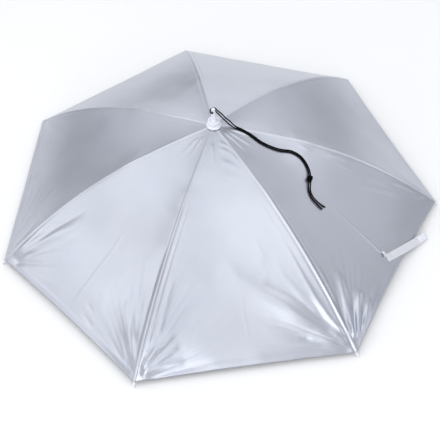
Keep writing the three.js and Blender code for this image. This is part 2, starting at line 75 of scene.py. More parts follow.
# %% [markdown]
# ## The camera
# The picture was taken from above the near edge, about 53 degrees up, with a slight roll. A camera
# can be aimed with a constraint, but a plain matrix says exactly what it does: its columns are the
# camera's right, up and back directions, and its last column is the place.

# %% Camera
CAMERA_ELEVATION = np.radians(53.467)
CAMERA_ROLL = np.radians(-2.508)
CAMERA_DISTANCE = 1.5493
CAMERA_TARGET = AXIS + np.array([3.954, -81.05, 0.0]) * MM
CAMERA_LENS = 59.18


def make_camera():
    """Right is +X turned by the roll, up and back follow from the elevation."""
    rise, run = np.sin(CAMERA_ELEVATION), np.cos(CAMERA_ELEVATION)
    right, up, back = np.array([1, 0, 0]), np.array([0, rise, run]), np.array([0, -run, rise])
    turn, tilt = np.cos(CAMERA_ROLL), np.sin(CAMERA_ROLL)
    place = CAMERA_TARGET + CAMERA_DISTANCE * back
    columns = [turn * right + tilt * up, turn * up - tilt * right, back, place]
    matrix = np.eye(4)
    matrix[:3, :] = np.stack(columns, axis=1)
    camera = bpy.data.objects.new("camera", bpy.data.cameras.new("camera"))
    camera.data.lens = CAMERA_LENS
    camera.data.clip_end = 50
    camera.matrix_world = Matrix(matrix.tolist())
    bpy.context.collection.objects.link(camera)
    bpy.context.scene.camera = camera
    return place


print("camera at", np.round(make_camera(), 3))

# %% [markdown]
# ## Three helpers for surfaces
# Nearly every piece here is a grid of points: rows along it, columns across or around it. One
# helper turns such a grid into a mesh, one lofts a round section along a path, and one turns a
# profile about an axis. They take whole arrays, so a fine surface costs no more typing.

# %% Grids to meshes
UP = np.array([0.0, 0.0, 1.0])


def unit(vectors):
    """Vectors divided by their own lengths."""
    return vectors / np.linalg.norm(vectors, axis=-1, keepdims=True)


def add_uv(mesh, name, pairs):
    """A uv map with one pair for each face corner."""
    layer = mesh.uv_layers.new(name=name)
    layer.data.foreach_set("uv", np.ascontiguousarray(pairs, dtype=np.float32).ravel())


def mesh_piece(name, points, faces, uv=None):
    """A smooth mesh object from points, faces of any size, and one uv pair for each face corner."""
    mesh = bpy.data.meshes.new(name)
    mesh.from_pydata(points.reshape(-1, 3), [], faces)
    mesh.polygons.foreach_set("use_smooth", np.full(len(mesh.polygons), True))
    if uv is not None:
        add_uv(mesh, "surface", uv)
    piece = bpy.data.objects.new(name, mesh)
    bpy.context.collection.objects.link(piece)
    return piece


def grid_faces(rows, columns, ring):
    """Quads between neighbouring rows and columns. ring joins the last column to the first."""
    row, column = np.meshgrid(np.arange(rows - 1), np.arange(columns - (not ring)), indexing="ij")
    near, far = row * columns, (row + 1) * columns
    beside = (column + 1) % columns
    return np.stack([near + column, near + beside, far + beside, far + column], axis=-1).reshape(-1, 4)


def capped_faces(rows, columns):
    """Quads of a ring grid, and one face over each end."""
    last = (rows - 1) * columns
    ends = [list(range(columns))[::-1], list(range(last, last + columns))]
    return grid_faces(rows, columns, ring=True).tolist() + ends


def joined_faces(rows, columns):
    """Quads of a ring grid whose last row is its first row again."""
    faces = grid_faces(rows, columns, ring=True)
    count = (rows - 1) * columns
    return np.where(faces >= count, faces - count, faces).tolist()


def corner_pairs(values):
    """Each quad's four corner pairs from a grid of pairs."""
    return np.stack([values[:-1, :-1], values[:-1, 1:], values[1:, 1:], values[1:, :-1]], axis=2)


def grid_uv(lengths, widths, capped=False):
    """Corner uv of a grid, as metres along its rows and across its columns. The faces over the ends
    of a capped grid get zeros."""
    u, v = np.meshgrid(lengths, widths, indexing="ij")
    uv = corner_pairs(np.stack([v, u], axis=-1)).reshape(-1, 2)
    return np.vstack([uv, np.zeros((2 * (len(widths) - 1), 2))]) if capped else uv


# %% Paths, tubes and turned shapes
def smooth_path(knots, step):
    """A centripetal Catmull-Rom curve through the knots, as points evenly spaced along its length.
    Each span mixes its four nearest knots, timed by the square root of the distance between them."""
    p = np.vstack([2 * knots[0] - knots[1], knots, 2 * knots[-1] - knots[-2]])
    time = np.concatenate([[0], np.cumsum(np.sqrt(np.linalg.norm(np.diff(p, axis=0), axis=1)))])
    t0, t1, t2, t3 = (time[i:len(time) - 3 + i, None, None] for i in range(4))
    p0, p1, p2, p3 = (p[i:len(p) - 3 + i, None, :] for i in range(4))
    t = t1 + (t2 - t1) * np.linspace(0, 1, 24, endpoint=False)[None, :, None]
    a1 = ((t1 - t) * p0 + (t - t0) * p1) / (t1 - t0)
    a2 = ((t2 - t) * p1 + (t - t1) * p2) / (t2 - t1)
    a3 = ((t3 - t) * p2 + (t - t2) * p3) / (t3 - t2)
    b1 = ((t2 - t) * a1 + (t - t0) * a2) / (t2 - t0)
    b2 = ((t3 - t) * a2 + (t - t1) * a3) / (t3 - t1)
    curve = ((t2 - t) * b1 + (t - t1) * b2) / (t2 - t1)
    curve = np.vstack([curve.reshape(-1, 3), knots[-1]])
    run = path_length(curve)
    even = np.linspace(0, run[-1], max(2, int(round(run[-1] / step)) + 1))
    return np.stack([np.interp(even, run, curve[:, i]) for i in range(3)], axis=1)


def path_length(points):
    """Distance along a path at each of its points."""
    return np.concatenate([[0], np.cumsum(np.linalg.norm(np.diff(points, axis=0), axis=1))])


def tube_grid(path, radius, sides, reference=UP):
    """A ring round each point of one path or of many: its side is square to the path and to the
    reference direction. radius is one number, or one for each point and side."""
    ahead = unit(np.gradient(path, axis=-2))
    side = unit(np.cross(ahead, reference))
    over = np.cross(ahead, side)
    turn = 2 * np.pi * np.arange(sides)[:, None] / sides
    across = np.cos(turn) * side[..., None, :] + np.sin(turn) * over[..., None, :]
    return path[..., None, :] + np.asarray(radius)[..., None] * across


def tube_piece(name, path, radius, sides, reference=UP):
    """A closed round bar: the tube's grid with a face over each end."""
    widths = np.linspace(0, 2 * np.pi * np.max(radius), sides + 1)
    return mesh_piece(name, tube_grid(path, radius, sides, reference), capped_faces(len(path), sides),
                      grid_uv(path_length(path), widths, capped=True))


def small_tubes(name, lines, reference, radius, sides):
    """Many short closed tubes as one mesh. lines holds each tube's centre points, and reference one
    direction for each tube, which its ring is square to."""
    count, rings = lines.shape[:2]
    first = np.arange(count)[:, None, None] * rings * sides
    body = (first + grid_faces(rings, sides, ring=True)[None]).reshape(-1, 4)
    start = first[:, 0] + np.arange(sides)[::-1]
    end = first[:, 0] + (rings - 1) * sides + np.arange(sides)
    points = tube_grid(lines, radius, sides, reference[:, None])
    return mesh_piece(name, points, body.tolist() + start.tolist() + end.tolist())


def rounded(profile, radius, steps=4):
    """Each inner corner of the profile is cut back by the radius, or by 45% of its shorter side,
    and bridged with a quadratic curve whose middle point is the corner."""
    before, corner, after = profile[:-2], profile[1:-1], profile[2:]
    back, on = np.linalg.norm(before - corner, axis=1), np.linalg.norm(after - corner, axis=1)
    cut = np.minimum(radius, 0.45 * np.minimum(back, on))[:, None]
    start = corner + (before - corner) * cut / back[:, None]
    end = corner + (after - corner) * cut / on[:, None]
    t = np.linspace(0, 1, steps + 1)[None, :, None]
    arc = (1 - t) ** 2 * start[:, None] + 2 * t * (1 - t) * corner[:, None] + t ** 2 * end[:, None]
    return np.vstack([profile[:1], arc.reshape(-1, 2), profile[-1:]])


def turned_piece(name, profile, sides, place=AXIS, way=UP, closed=False):
    """The profile's radii and heights carried round an axis through place. A closed profile joins
    its last row to its first, as on a ring, and an open one gets a face over each end."""
    reference = np.array([1.0, 0, 0]) if abs(way[0]) < 0.9 else np.array([0, 1.0, 0])
    side = unit(np.cross(reference, way))
    over = np.cross(way, side)
    turn = 2 * np.pi * np.arange(sides) / sides
    round_way = np.cos(turn)[:, None] * side + np.sin(turn)[:, None] * over
    if closed:
        profile = np.vstack([profile, profile[:1]])
    points = place + profile[:, None, :1] * round_way[None] + profile[:, None, 1:] * way
    widths = np.linspace(0, 2 * np.pi * profile[:, 0].max(), sides + 1)
    uv = grid_uv(path_length(profile), widths, capped=not closed)
    if closed:
        return mesh_piece(name, points[:-1], joined_faces(len(profile), sides), uv)
    return mesh_piece(name, points, capped_faces(len(profile), sides), uv)


# %% [markdown]
# ## Effects that several finishes share
# Weave, creases and handling marks turn up on more than one piece, so each is a shader node group,
# built once, with its sizes as inputs. A group puts out only masks and heights. The shader itself
# stays in each material.

# %% Node helpers
def feed(tree, socket, value):
    """A socket's value: a link from another socket, or a plain number."""
    if isinstance(value, bpy.types.NodeSocket):
        tree.links.new(value, socket)
    else:
        socket.default_value = value


def add_maths(tree, operation, *values):
    """A Math node fed with sockets or plain numbers, and its output."""
    node = tree.nodes.new("ShaderNodeMath")
    node.operation = operation
    for socket, value in zip(node.inputs, values):
        feed(tree, socket, value)
    return node.outputs[0]


def add_noise(tree, vector, scale, detail=3.0, roughness=0.5):
    """A Noise Texture on a vector, and its grey output."""
    node = tree.nodes.new("ShaderNodeTexNoise")
    for label, value in {"Vector": vector, "Scale": scale, "Detail": detail, "Roughness": roughness}.items():
        feed(tree, node.inputs[label], value)
    return node.outputs["Fac"]


def new_group(name, inputs, outputs):
    """An empty shader group with float inputs and outputs and a vector input."""
    tree = bpy.data.node_groups.new(name, "ShaderNodeTree")
    tree.interface.new_socket(name="Vector", in_out="INPUT", socket_type="NodeSocketVector")
    for label, value in inputs.items():
        socket = tree.interface.new_socket(name=label, in_out="INPUT", socket_type="NodeSocketFloat")
        socket.default_value = value
    for label in outputs:
        tree.interface.new_socket(name=label, in_out="OUTPUT", socket_type="NodeSocketFloat")
    return tree, tree.nodes.new("NodeGroupInput"), tree.nodes.new("NodeGroupOutput")


# %% The three shared effects
def weave_group():
    """Plain weave: across and along threads cross over and under, so the height is the product of
    two sines of the surface's metres divided by the thread pitch, brought to 0 to 1."""
    tree, given, result = new_group("woven_threads", {"Pitch": 0.5 * MM, "Stretch": 1.0}, ["Height"])
    apart = tree.nodes.new("ShaderNodeSeparateXYZ")
    tree.links.new(given.outputs["Vector"], apart.inputs[0])
    turns = add_maths(tree, "DIVIDE", np.pi, given.outputs["Pitch"])
    along = add_maths(tree, "DIVIDE", turns, given.outputs["Stretch"])
    weft = add_maths(tree, "SINE", add_maths(tree, "MULTIPLY", apart.outputs[0], turns))
    warp = add_maths(tree, "SINE", add_maths(tree, "MULTIPLY", apart.outputs[1], along))
    both = add_maths(tree, "MULTIPLY", weft, warp)
    height = add_maths(tree, "MULTIPLY_ADD", both, 0.5, 0.5)
    tree.links.new(height, result.inputs["Height"])
    return tree


def crease_group():
    """Fine creases: noise folded about its middle, so that its zero lines become sharp little
    ridges, over a softer noise of twice the size."""
    tree, given, result = new_group("fine_creases", {"Scale": 30.0}, ["Height"])
    sharp = add_noise(tree, given.outputs["Vector"], given.outputs["Scale"], detail=2.0)
    folded = add_maths(tree, "ABSOLUTE", add_maths(tree, "SUBTRACT", sharp, 0.5))
    half = add_maths(tree, "MULTIPLY", given.outputs["Scale"], 0.5)
    soft = add_noise(tree, given.outputs["Vector"], half, detail=1.0)
    height = add_maths(tree, "MULTIPLY_ADD", folded, -1.6, soft)
    tree.links.new(height, result.inputs["Height"])
    return tree


def marks_group():
    """Handling marks: a broad mask of where a surface was touched, and a fine one of its grain."""
    tree, given, result = new_group("handling_marks", {"Scale": 8.0}, ["Broad", "Fine"])
    broad = add_noise(tree, given.outputs["Vector"], given.outputs["Scale"], detail=4.0)
    spread = add_maths(tree, "SMOOTH_MIN", add_maths(tree, "MULTIPLY", broad, 1.4), 1.0, 0.2)
    many = add_maths(tree, "MULTIPLY", given.outputs["Scale"], 45.0)
    fine = add_noise(tree, given.outputs["Vector"], many, detail=2.0, roughness=0.6)
    tree.links.new(spread, result.inputs["Broad"])
    tree.links.new(fine, result.inputs["Fine"])
    return tree


def tension_group():
    """Creases that run out from a tip: noise of the angle, stretched along the distance,
    times the distance and a fade that ends at the reach."""
    tree, given, result = new_group("tension_creases", {"Count": 24.0, "Reach": 0.2}, ["Height"])
    apart = tree.nodes.new("ShaderNodeSeparateXYZ")
    tree.links.new(given.outputs["Vector"], apart.inputs[0])
    away = apart.outputs[1]
    join = tree.nodes.new("ShaderNodeCombineXYZ")
    tree.links.new(add_maths(tree, "MULTIPLY", apart.outputs[0], given.outputs["Count"]), join.inputs[0])
    tree.links.new(add_maths(tree, "MULTIPLY", away, 9.0), join.inputs[1])
    noise = add_noise(tree, join.outputs[0], 1.0, detail=1.0, roughness=0.4)
    left = add_maths(tree, "SUBTRACT", 1.0, add_maths(tree, "DIVIDE", away, given.outputs["Reach"]))
    fade = add_maths(tree, "MAXIMUM", left, 0.0)
    depth = add_maths(tree, "MULTIPLY", add_maths(tree, "MULTIPLY", away, 10.0), fade)
    height = add_maths(tree, "MULTIPLY", noise, depth)
    tree.links.new(height, result.inputs["Height"])
    return tree


WEAVE, CREASES, MARKS, TENSION = weave_group(), crease_group(), marks_group(), tension_group()
print("shared effects:", [group.name for group in (WEAVE, CREASES, MARKS, TENSION)])


# %% A material in the making
class Finish:
    """A material with one Principled shader, and short ways to feed it."""

    def __init__(self, name, **values):
        self.material = bpy.data.materials.new(name)
        self.material.use_nodes = True
        self.tree = self.material.node_tree
        self.shader = self.tree.nodes["Principled BSDF"]
        self.places = self.tree.nodes.new("ShaderNodeTexCoord").outputs
        for label, value in values.items():
            self.shader.inputs[label.replace("_", " ")].default_value = value

    def uv_map(self, name):
        """The vector that a named uv map holds."""
        node = self.tree.nodes.new("ShaderNodeUVMap")
        node.uv_map = name
        return node.outputs[0]

    def effect(self, group, place="Object", **values):
        """A shared effect placed in this material with its own values. A place that isn't a texture
        coordinate is the name of a uv map."""
        node = self.tree.nodes.new("ShaderNodeGroup")
        node.node_tree = group
        vector = self.places[place] if place in self.places else self.uv_map(place)
        self.tree.links.new(vector, node.inputs["Vector"])
        for label, value in values.items():
            node.inputs[label].default_value = value
        return node.outputs

    def stored(self, name):
        """The two numbers that a uv map holds."""
        apart = self.tree.nodes.new("ShaderNodeSeparateXYZ")
        self.tree.links.new(self.uv_map(name), apart.inputs[0])
        return apart.outputs[0], apart.outputs[1]

    def colours(self, mask, low, high, start=0.0, end=1.0):
        """Base Color runs from low to high as the mask runs from start to end."""
        ramp = self.tree.nodes.new("ShaderNodeValToRGB")
        ramp.color_ramp.elements[0].position = start
        ramp.color_ramp.elements[1].position = end
        ramp.color_ramp.elements[0].color = (*low, 1)
        ramp.color_ramp.elements[1].color = (*high, 1)
        self.tree.links.new(mask, ramp.inputs[0])
        self.tree.links.new(ramp.outputs[0], self.shader.inputs["Base Color"])

    def over(self, mask, colour):
        """Base Color goes over to another colour by the mask."""
        mix = self.tree.nodes.new("ShaderNodeMix")
        mix.data_type = "RGBA"
        before = self.shader.inputs["Base Color"].links[0].from_socket
        self.tree.links.new(mask, mix.inputs["Factor"])
        self.tree.links.new(before, mix.inputs[6])
        mix.inputs[7].default_value = (*colour, 1)
        self.tree.links.new(mix.outputs[2], self.shader.inputs["Base Color"])

    def roughness(self, mask, low, high):
        """Roughness runs from low to high with the mask."""
        value = add_maths(self.tree, "MULTIPLY_ADD", mask, high - low, low)
        self.tree.links.new(value, self.shader.inputs["Roughness"])

    def relief(self, *layers):
        """Bump layers of height and depth in metres, each on top of the one before."""
        normal = None
        for height, depth in layers:
            bump = self.tree.nodes.new("ShaderNodeBump")
            bump.inputs["Distance"].default_value = depth
            self.tree.links.new(height, bump.inputs["Height"])
            if normal is not None:
                self.tree.links.new(normal, bump.inputs["Normal"])
            normal = bump.outputs[0]
        self.tree.links.new(normal, self.shader.inputs["Normal"])


# %% [markdown]
# ## The finishes
# The canopy is nylon with a thin coat of aluminium powder in resin. It mirrors nothing, but it is
# far shinier than plain cloth: a metal-like shader with a wide, soft gloss. Its back is the bare
# grey cloth. The post, cap and tips are moulded white plastic, the ribs plated steel wire, the band
# knitted elastic, the strap a woven tape and the cord a round braid.

# %% Cloth finishes
def silver_cloth():
    """Metal-like coat: a soft gloss that varies broadly, creases at the tips, a painted highlight on each
    seam with painted shade lines beside it."""
    finish = Finish("silver_coat", Metallic=0.85, Roughness=0.33)
    marks = finish.effect(MARKS, Scale=5.0)
    creases = finish.effect(CREASES, Scale=22.0)
    tension = finish.effect(TENSION, place="tension", Count=12.0, Reach=0.21)
    finish.colours(marks["Broad"], (0.475, 0.495, 0.56), (0.57, 0.59, 0.655), 0.35, 0.85)
    # The seam map holds painted light: line is a painted highlight, beside is a painted shade line, both
    # laid into the base colour.
    line, beside = finish.stored("seam")
    finish.over(line, (0.75, 0.76, 0.81))
    finish.over(beside, (0.44, 0.45, 0.50))
    finish.roughness(marks["Broad"], 0.30, 0.36)
    finish.relief((tension["Height"], 1.5 * MM), (creases["Height"], 0.25 * MM))
    return finish.material


def cloth_back():
    """Bare grey nylon: a plain weave, rough, with a little sheen."""
    finish = Finish("bare_cloth_back", Roughness=0.75, Sheen_Weight=0.25)
    marks = finish.effect(MARKS, Scale=6.0)
    weave = finish.effect(WEAVE, place="UV", Pitch=0.45 * MM)
    finish.colours(marks["Broad"], (0.27, 0.28, 0.31), (0.34, 0.35, 0.38), 0.3, 0.9)
    finish.relief((weave["Height"], 0.04 * MM))
    return finish.material


def webbing():
    """White tape: a coarse weave, with painted shade on its low threads."""
    finish = Finish("white_webbing", Roughness=0.8, Sheen_Weight=0.3)
    weave = finish.effect(WEAVE, place="UV", Pitch=1.1 * MM, Stretch=0.6)
    marks = finish.effect(MARKS, Scale=14.0)
    # Colour follows the weave's height: painted shade on the low threads.
    finish.colours(weave["Height"], (0.60, 0.61, 0.65), (0.77, 0.78, 0.83), 0.0, 0.8)
    finish.relief((weave["Height"], 0.16 * MM), (marks["Fine"], 0.03 * MM))
    return finish.material


def hook_tape():
    """White base of the hooks, faintly uneven."""
    finish = Finish("hook_tape", Roughness=0.45)
    marks = finish.effect(MARKS, Scale=30.0)
    finish.colours(marks["Fine"], (0.86, 0.87, 0.94), (0.93, 0.94, 0.99), 0.2, 0.8)
    finish.relief((marks["Fine"], 0.05 * MM))
    return finish.material


def elastic():
    """Black knitted band: long stitches with painted shade between them, nearly no gloss."""
    finish = Finish("black_elastic", Roughness=0.85, Sheen_Weight=0.2)
    weave = finish.effect(WEAVE, place="UV", Pitch=0.9 * MM, Stretch=1.6)
    # Colour follows the weave's height: painted shade in the low stitches.
    finish.colours(weave["Height"], (0.010, 0.010, 0.012), (0.045, 0.045, 0.05), 0.1, 1.0)
    finish.relief((weave["Height"], 0.15 * MM))
    return finish.material


def braid():
    """Black cord: small crossing strands, with painted shade between them."""
    finish = Finish("black_braid", Roughness=0.85, Specular_IOR_Level=0.08)
    weave = finish.effect(WEAVE, place="UV", Pitch=0.55 * MM, Stretch=1.5)
    # Colour follows the weave's height: painted shade between the strands.
    finish.colours(weave["Height"], (0.0005, 0.0005, 0.001), (0.005, 0.005, 0.007), 0.1, 0.9)
    finish.relief((weave["Height"], 0.12 * MM))
    return finish.material


def thread():
    """Grey sewing thread, lighter and darker along its run."""
    finish = Finish("grey_thread", Roughness=0.55)
    marks = finish.effect(MARKS, Scale=60.0)
    finish.colours(marks["Fine"], (0.52, 0.54, 0.60), (0.68, 0.70, 0.76), 0.2, 0.8)
    return finish.material


# %% Hard finishes
def white_plastic():
    """Moulded white plastic: fine grain moves its gloss a little."""
    finish = Finish("white_plastic", Roughness=0.38)
    marks = finish.effect(MARKS, Scale=25.0)
    finish.colours(marks["Broad"], (0.79, 0.80, 0.87), (0.86, 0.87, 0.94), 0.3, 0.9)
    finish.roughness(marks["Fine"], 0.30, 0.46)
    finish.relief((marks["Fine"], 0.01 * MM))
    return finish.material


def steel(name, low, high):
    """Plated steel between two greys, with fine scratches in its gloss."""
    finish = Finish(name, Metallic=1.0, Roughness=0.3)
    marks = finish.effect(MARKS, Scale=18.0)
    finish.colours(marks["Broad"], low, high, 0.3, 0.9)
    finish.roughness(marks["Fine"], 0.22, 0.42)
    finish.relief((marks["Fine"], 0.008 * MM))
    return finish.material


SILVER, BACK, WEBBING, HOOKS = silver_cloth(), cloth_back(), webbing(), hook_tape()
ELASTIC, BRAID, THREAD, PLASTIC = elastic(), braid(), thread(), white_plastic()
WIRE = steel("plated_wire", (0.50, 0.50, 0.52), (0.62, 0.62, 0.64))
SLEEVE = steel("pressed_sleeve", (0.42, 0.42, 0.44), (0.55, 0.55, 0.57))


def dress(piece, materials, nodes=()):
    """Gives a piece its finish and its place on the hat's one body, and hides the frame's nodes it stands
    for.
    """
    for material in materials:
        piece.data.materials.append(material)
    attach(piece, "root")
    if nodes:
        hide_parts(*nodes)
    return piece


# %% [markdown]
# ## The canopy as a height over the plan
# Opened, each gore hangs between two ribs: straight from rib to rib, curved along them. So a place
# on the cloth is a gore, a share of the way out and a share of the way across, and its height is a
# formula. The fall along a rib mixes the share, its square and its cube, which is the bend of a
# slender rod. The middle of a gore sags a little, and a rib's joint pushes the cloth up.

# %% Plan and height
JOINT_SHARE = 0.375
JOINT_LIFT = 1.6 * MM
CLOTH_START = 7.6 * MM / np.cos(HALF_GORE) / RADIUS


def rib_way(k):
    """Plan direction of a rib: even sevenths of a turn, clockwise from above, with its own lean."""
    turn = np.radians(FIRST_RIB - k * 360 / GORES + RIB_LEAN[k % GORES])
    return np.array([np.cos(turn), np.sin(turn)])


def plan_of(gore, share, across):
    """The two ribs' directions mixed by across, at the share of the radius."""
    first, second = rib_way(gore), rib_way(gore + 1)
    mixed = first + (second - first) * np.asarray(across)[..., None]
    return mixed * (np.asarray(share) * RADIUS)[..., None]


def chord_at(share):
    """Distance from rib to rib at a share of the radius."""
    return 2 * np.sin(HALF_GORE) * share * RADIUS


def rib_height(share):
    """The rise less the fall along a rib."""
    return RISE * (1 - FALL[0] * share - FALL[1] * share ** 2 - FALL[2] * share ** 3)


def rib_slope(share):
    """How steeply a rib runs, as height for each metre out."""
    return -RISE / RADIUS * (FALL[0] + 2 * FALL[1] * share + 3 * FALL[2] * share ** 2)


# %% [markdown]
# ## Folds
# The cloth is pulled tight between the tips, so folds run in from each near tip, and light creases
# stay in the middle of the gores from the way the hat was packed. The folds are listed by gore, and
# each is a row: the points of its line as shares out and across in thousandths, its widths to the
# left and right, and its height, in millimetres. A fold is soft on one side and sharp on the other,
# and fades towards its end.
# Simulated cloth would put its folds anywhere, so here they are drawn.

# %% The folds' table
FOLDS = {
    1: [
        ([(973, 985), (862, 947), (800, 843)], 5, 5, 1.52),
        ([(945, 75), (791, 222), (607, 432)], 5, 5, 1.14),
    ],
    2: [
        ([(949, 998), (855, 991), (810, 972), (699, 950)], 3.5, 2.6, 2.2),
        ([(980, 997), (926, 956), (876, 918), (832, 878), (791, 832)], 7, 4, 13),
        ([(988, 983), (952, 910), (922, 845), (894, 783)], 7, 4, 13),
        ([(986, 951), (972, 853), (943, 758)], 6, 4, 8),
        ([(977, 978), (939, 932), (901, 882), (867, 830)], 4, 4, -4.5),
        ([(986, 957), (963, 880), (937, 808)], 4, 4, -4),
        ([(941, 999), (874, 970), (820, 931)], 5, 4, -2.5),
        ([(947, 27), (852, 101), (770, 147), (720, 181), (642, 236)], 3.2, 2.4, 2.6),
        ([(919, 23), (808, 44), (746, 81), (686, 109), (656, 105)], 3, 2.4, 1.6),
        ([(575, 58), (535, 63), (498, 68)], 3, 2.4, 1.4),
        ([(627, 119), (585, 122), (545, 129)], 3, 2.4, 1.2),
        ([(800, 82), (746, 100), (698, 120)], 2.6, 2.2, 1.1),
        ([(914, 477), (944, 392), (982, 303)], 3, 3, -1.8),
        ([(985, 912), (968, 790), (945, 646)], 7, 6, 2.8),
        ([(599, 43), (542, 71), (494, 104)], 5, 5, 1.33),
        ([(925, 505), (754, 509), (600, 506)], 2.2, 1.8, 0.8),
        ([(64, 618), (144, 695), (192, 709)], 3.4, 2.6, 1.4),
        ([(76, 383), (137, 474), (200, 485)], 3.4, 2.6, 1.1),
        ([(81, 156), (141, 187), (203, 220)], 3.4, 2.6, 1.1),
        ([(370, 85), (397, 86), (428, 113)], 3, 2.4, 1.2),
    ],
    3: [
        ([(984, 17), (933, 74), (884, 132), (843, 187), (805, 248), (756, 355), (696, 481),
          (640, 560)], 20, 10, 3.8),
        ([(884, 132), (843, 187), (805, 248), (756, 355), (696, 481), (625, 590)], 23, 12, 3.6),
        ([(979, 20), (920, 67), (888, 90)], 5, 4, 1.71),
        ([(954, 12), (869, 52), (808, 70), (738, 82), (605, 94), (568, 107)], 5, 2.6, 2.2),
        ([(861, 92), (793, 144), (710, 194), (646, 217)], 5, 4, 1.14),
        ([(663, 288), (599, 332)], 5, 4, 1.2),
        ([(931, 49), (849, 124), (775, 204), (711, 312)], 10, 12, -4.5),
        ([(994, 17), (975, 141), (972, 311), (970, 424)], 7, 7, -2.6),
        ([(938, 179), (925, 228)], 3, 3, -1.14),
        ([(896, 473), (810, 478), (721, 479)], 2.4, 2, 0.15),
        ([(969, 977), (910, 932), (856, 853)], 5, 7, 4.6),
        ([(987, 975), (932, 885), (901, 823)], 5, 7, 4.2),
        ([(993, 969), (969, 894), (952, 788)], 5, 6, 3.6),
        ([(990, 963), (980, 845), (975, 655)], 5, 5, -2.47),
        ([(855, 927), (722, 917), (662, 913)], 4, 4, 0.95),
        ([(879, 973), (853, 946)], 2, 2, 0.95),
        ([(124, 476), (162, 171), (229, 67)], 5, 4, 1.6),
        ([(187, 481), (217, 291), (259, 99)], 5, 4, 1.4),
        ([(97, 433), (125, 103), (165, 38)], 4, 3, 1.2),
        ([(251, 485), (276, 333), (321, 178)], 5, 5, 0.8),
        ([(99, 719), (162, 657), (227, 631)], 3, 3, 0.7),
        ([(421, 120), (497, 111), (567, 84)], 3, 3, 0.8),
        ([(552, 313), (610, 287), (667, 251)], 4, 3, 0.9),
    ],
    4: [
        ([(983, 8), (918, 60), (851, 135), (802, 195)], 16, 7, 7.0),
        ([(987, 11), (938, 85), (898, 140)], 4, 4, -2.6),
        ([(866, 95), (784, 143), (698, 204)], 3, 3, 1.33),
        ([(799, 74), (706, 128), (628, 175)], 3, 3, 0.95),
        ([(840, 210), (794, 228), (736, 249)], 3, 3, 0.76),
        ([(876, 329), (826, 368)], 3.2, 2.6, 1.52),
        ([(917, 373), (897, 429)], 3, 3, -1.33),
        ([(959, 334), (942, 417)], 3, 3, -1.33),
        ([(983, 20), (972, 169), (960, 264)], 4, 4, 1.14),
        ([(935, 500), (846, 488), (712, 463), (601, 467)], 2.6, 2.2, 0.6),
        ([(979, 964), (848, 921), (725, 889), (629, 846)], 5, 5, -2.85),
        ([(971, 959), (867, 926), (802, 885), (752, 836), (676, 790)], 10, 8, 5.0),
        ([(985, 16), (900, 22), (800, 25), (700, 30), (560, 36)], 14, 4, -4.0),
        ([(977, 950), (863, 856), (766, 749)], 5, 6, -2.55),
        ([(980, 946), (916, 829), (862, 710)], 5, 6, -2.47),
        ([(976, 968), (816, 980), (660, 985), (523, 970)], 2.4, 2.4, 1.71),
        ([(77, 431), (136, 359), (188, 289)], 3.4, 2.6, 1.0),
        ([(95, 610), (148, 562), (208, 504)], 3.4, 2.6, 0.9),
    ],
    5: [
        ([(970, 14), (894, 30), (821, 94)], 5, 5, 1.71),
        ([(962, 958), (832, 828), (683, 675)], 5, 5, 1.52),
        ([(941, 990), (721, 961), (535, 934)], 5, 5, 1.52),
    ],
}
OPENING_WIDTHS = 2.5
LEAST_OPENING = 0.08


def smooth_step(x, low, high):
    """0 below low, 1 above high, and the cubic 3t^2 - 2t^3 between."""
    t = np.clip((x - low) / (high - low), 0, 1)
    return t * t * (3 - 2 * t)


def fold_height(gore, fold, place):
    """Height times a bell of the distance from the fold's line over its width on that side, times
    the share of the line that is left, to the power 0.5. It also fades in over OPENING_WIDTHS of its
    left widths, or over LEAST_OPENING as a share of its line if that is longer."""
    course, left, right, height = fold
    knots = plan_of(gore, *np.array(course).T / 1000)
    start, way = knots[:-1], np.diff(knots, axis=0)
    offset = place[..., None, :] - start
    along = np.clip((offset * way).sum(-1) / (way ** 2).sum(-1), 0, 1)
    away = np.linalg.norm(offset - along[..., None] * way, axis=-1)
    side = way[:, 0] * offset[..., 1] - way[:, 1] * offset[..., 0]
    nearest = away.argmin(-1)[..., None]
    away, side, along = (np.take_along_axis(a, nearest, -1)[..., 0] for a in (away, side, along))
    run = path_length(knots)
    opening = max(LEAST_OPENING, OPENING_WIDTHS * left * MM / run[-1])
    run = (run[nearest[..., 0]] + along * np.diff(run)[nearest[..., 0]]) / run[-1]
    section = np.exp(-(away / np.where(side > 0, left, right) / MM) ** 2)
    return height * MM * section * (1 - run) ** 0.5 * smooth_step(run, -0.03, opening)


def cloth_height(gore, share, across):
    """Rib height, less the sag of the gore's middle, plus the joint's lift near a rib, plus folds."""
    middle = 4 * across * (1 - across)
    outward = np.clip(share, 0, 1)
    sag = GORE_SAG * middle * np.sin(np.pi * outward ** 1.4) ** 0.8
    beside = np.exp(-(np.minimum(across, 1 - across) * share * 12) ** 2)
    lift = JOINT_LIFT * beside * np.exp(-((share - JOINT_SHARE) / 0.05) ** 4)
    point = plan_of(gore, share, across)
    inside = np.minimum(1, middle * 8)
    folds = sum((fold_height(gore, fold, point) for fold in FOLDS.get(gore, ())), np.zeros_like(share))
    return rib_height(share) - sag + lift + folds * inside


def height_at(x, y):
    """Cloth height over a plan point: the gore whose two ribs enclose it gives share and across."""
    for gore in range(GORES):
        share_first, share_second = np.linalg.solve(
            np.stack([rib_way(gore), rib_way(gore + 1)], axis=1), [x / RADIUS, y / RADIUS])
        if share_first >= 0 and share_second >= 0:
            share = np.array(share_first + share_second)
            return float(cloth_height(gore, share, share_second / share))
    return RISE


print("cloth height over a point 0.1 m out:", round(height_at(0.1, 0.0), 4))

# %% [markdown]
# ## The canopy as one sheet
# Seven gores are sewn into one continuous sheet, so it is one mesh: a ring of columns, finer near
# the ribs where folds and seams lie, and rows from the hole at the post out to the hem. Solidify
# gives it the real cloth's thickness, with the bare back on its inner side.

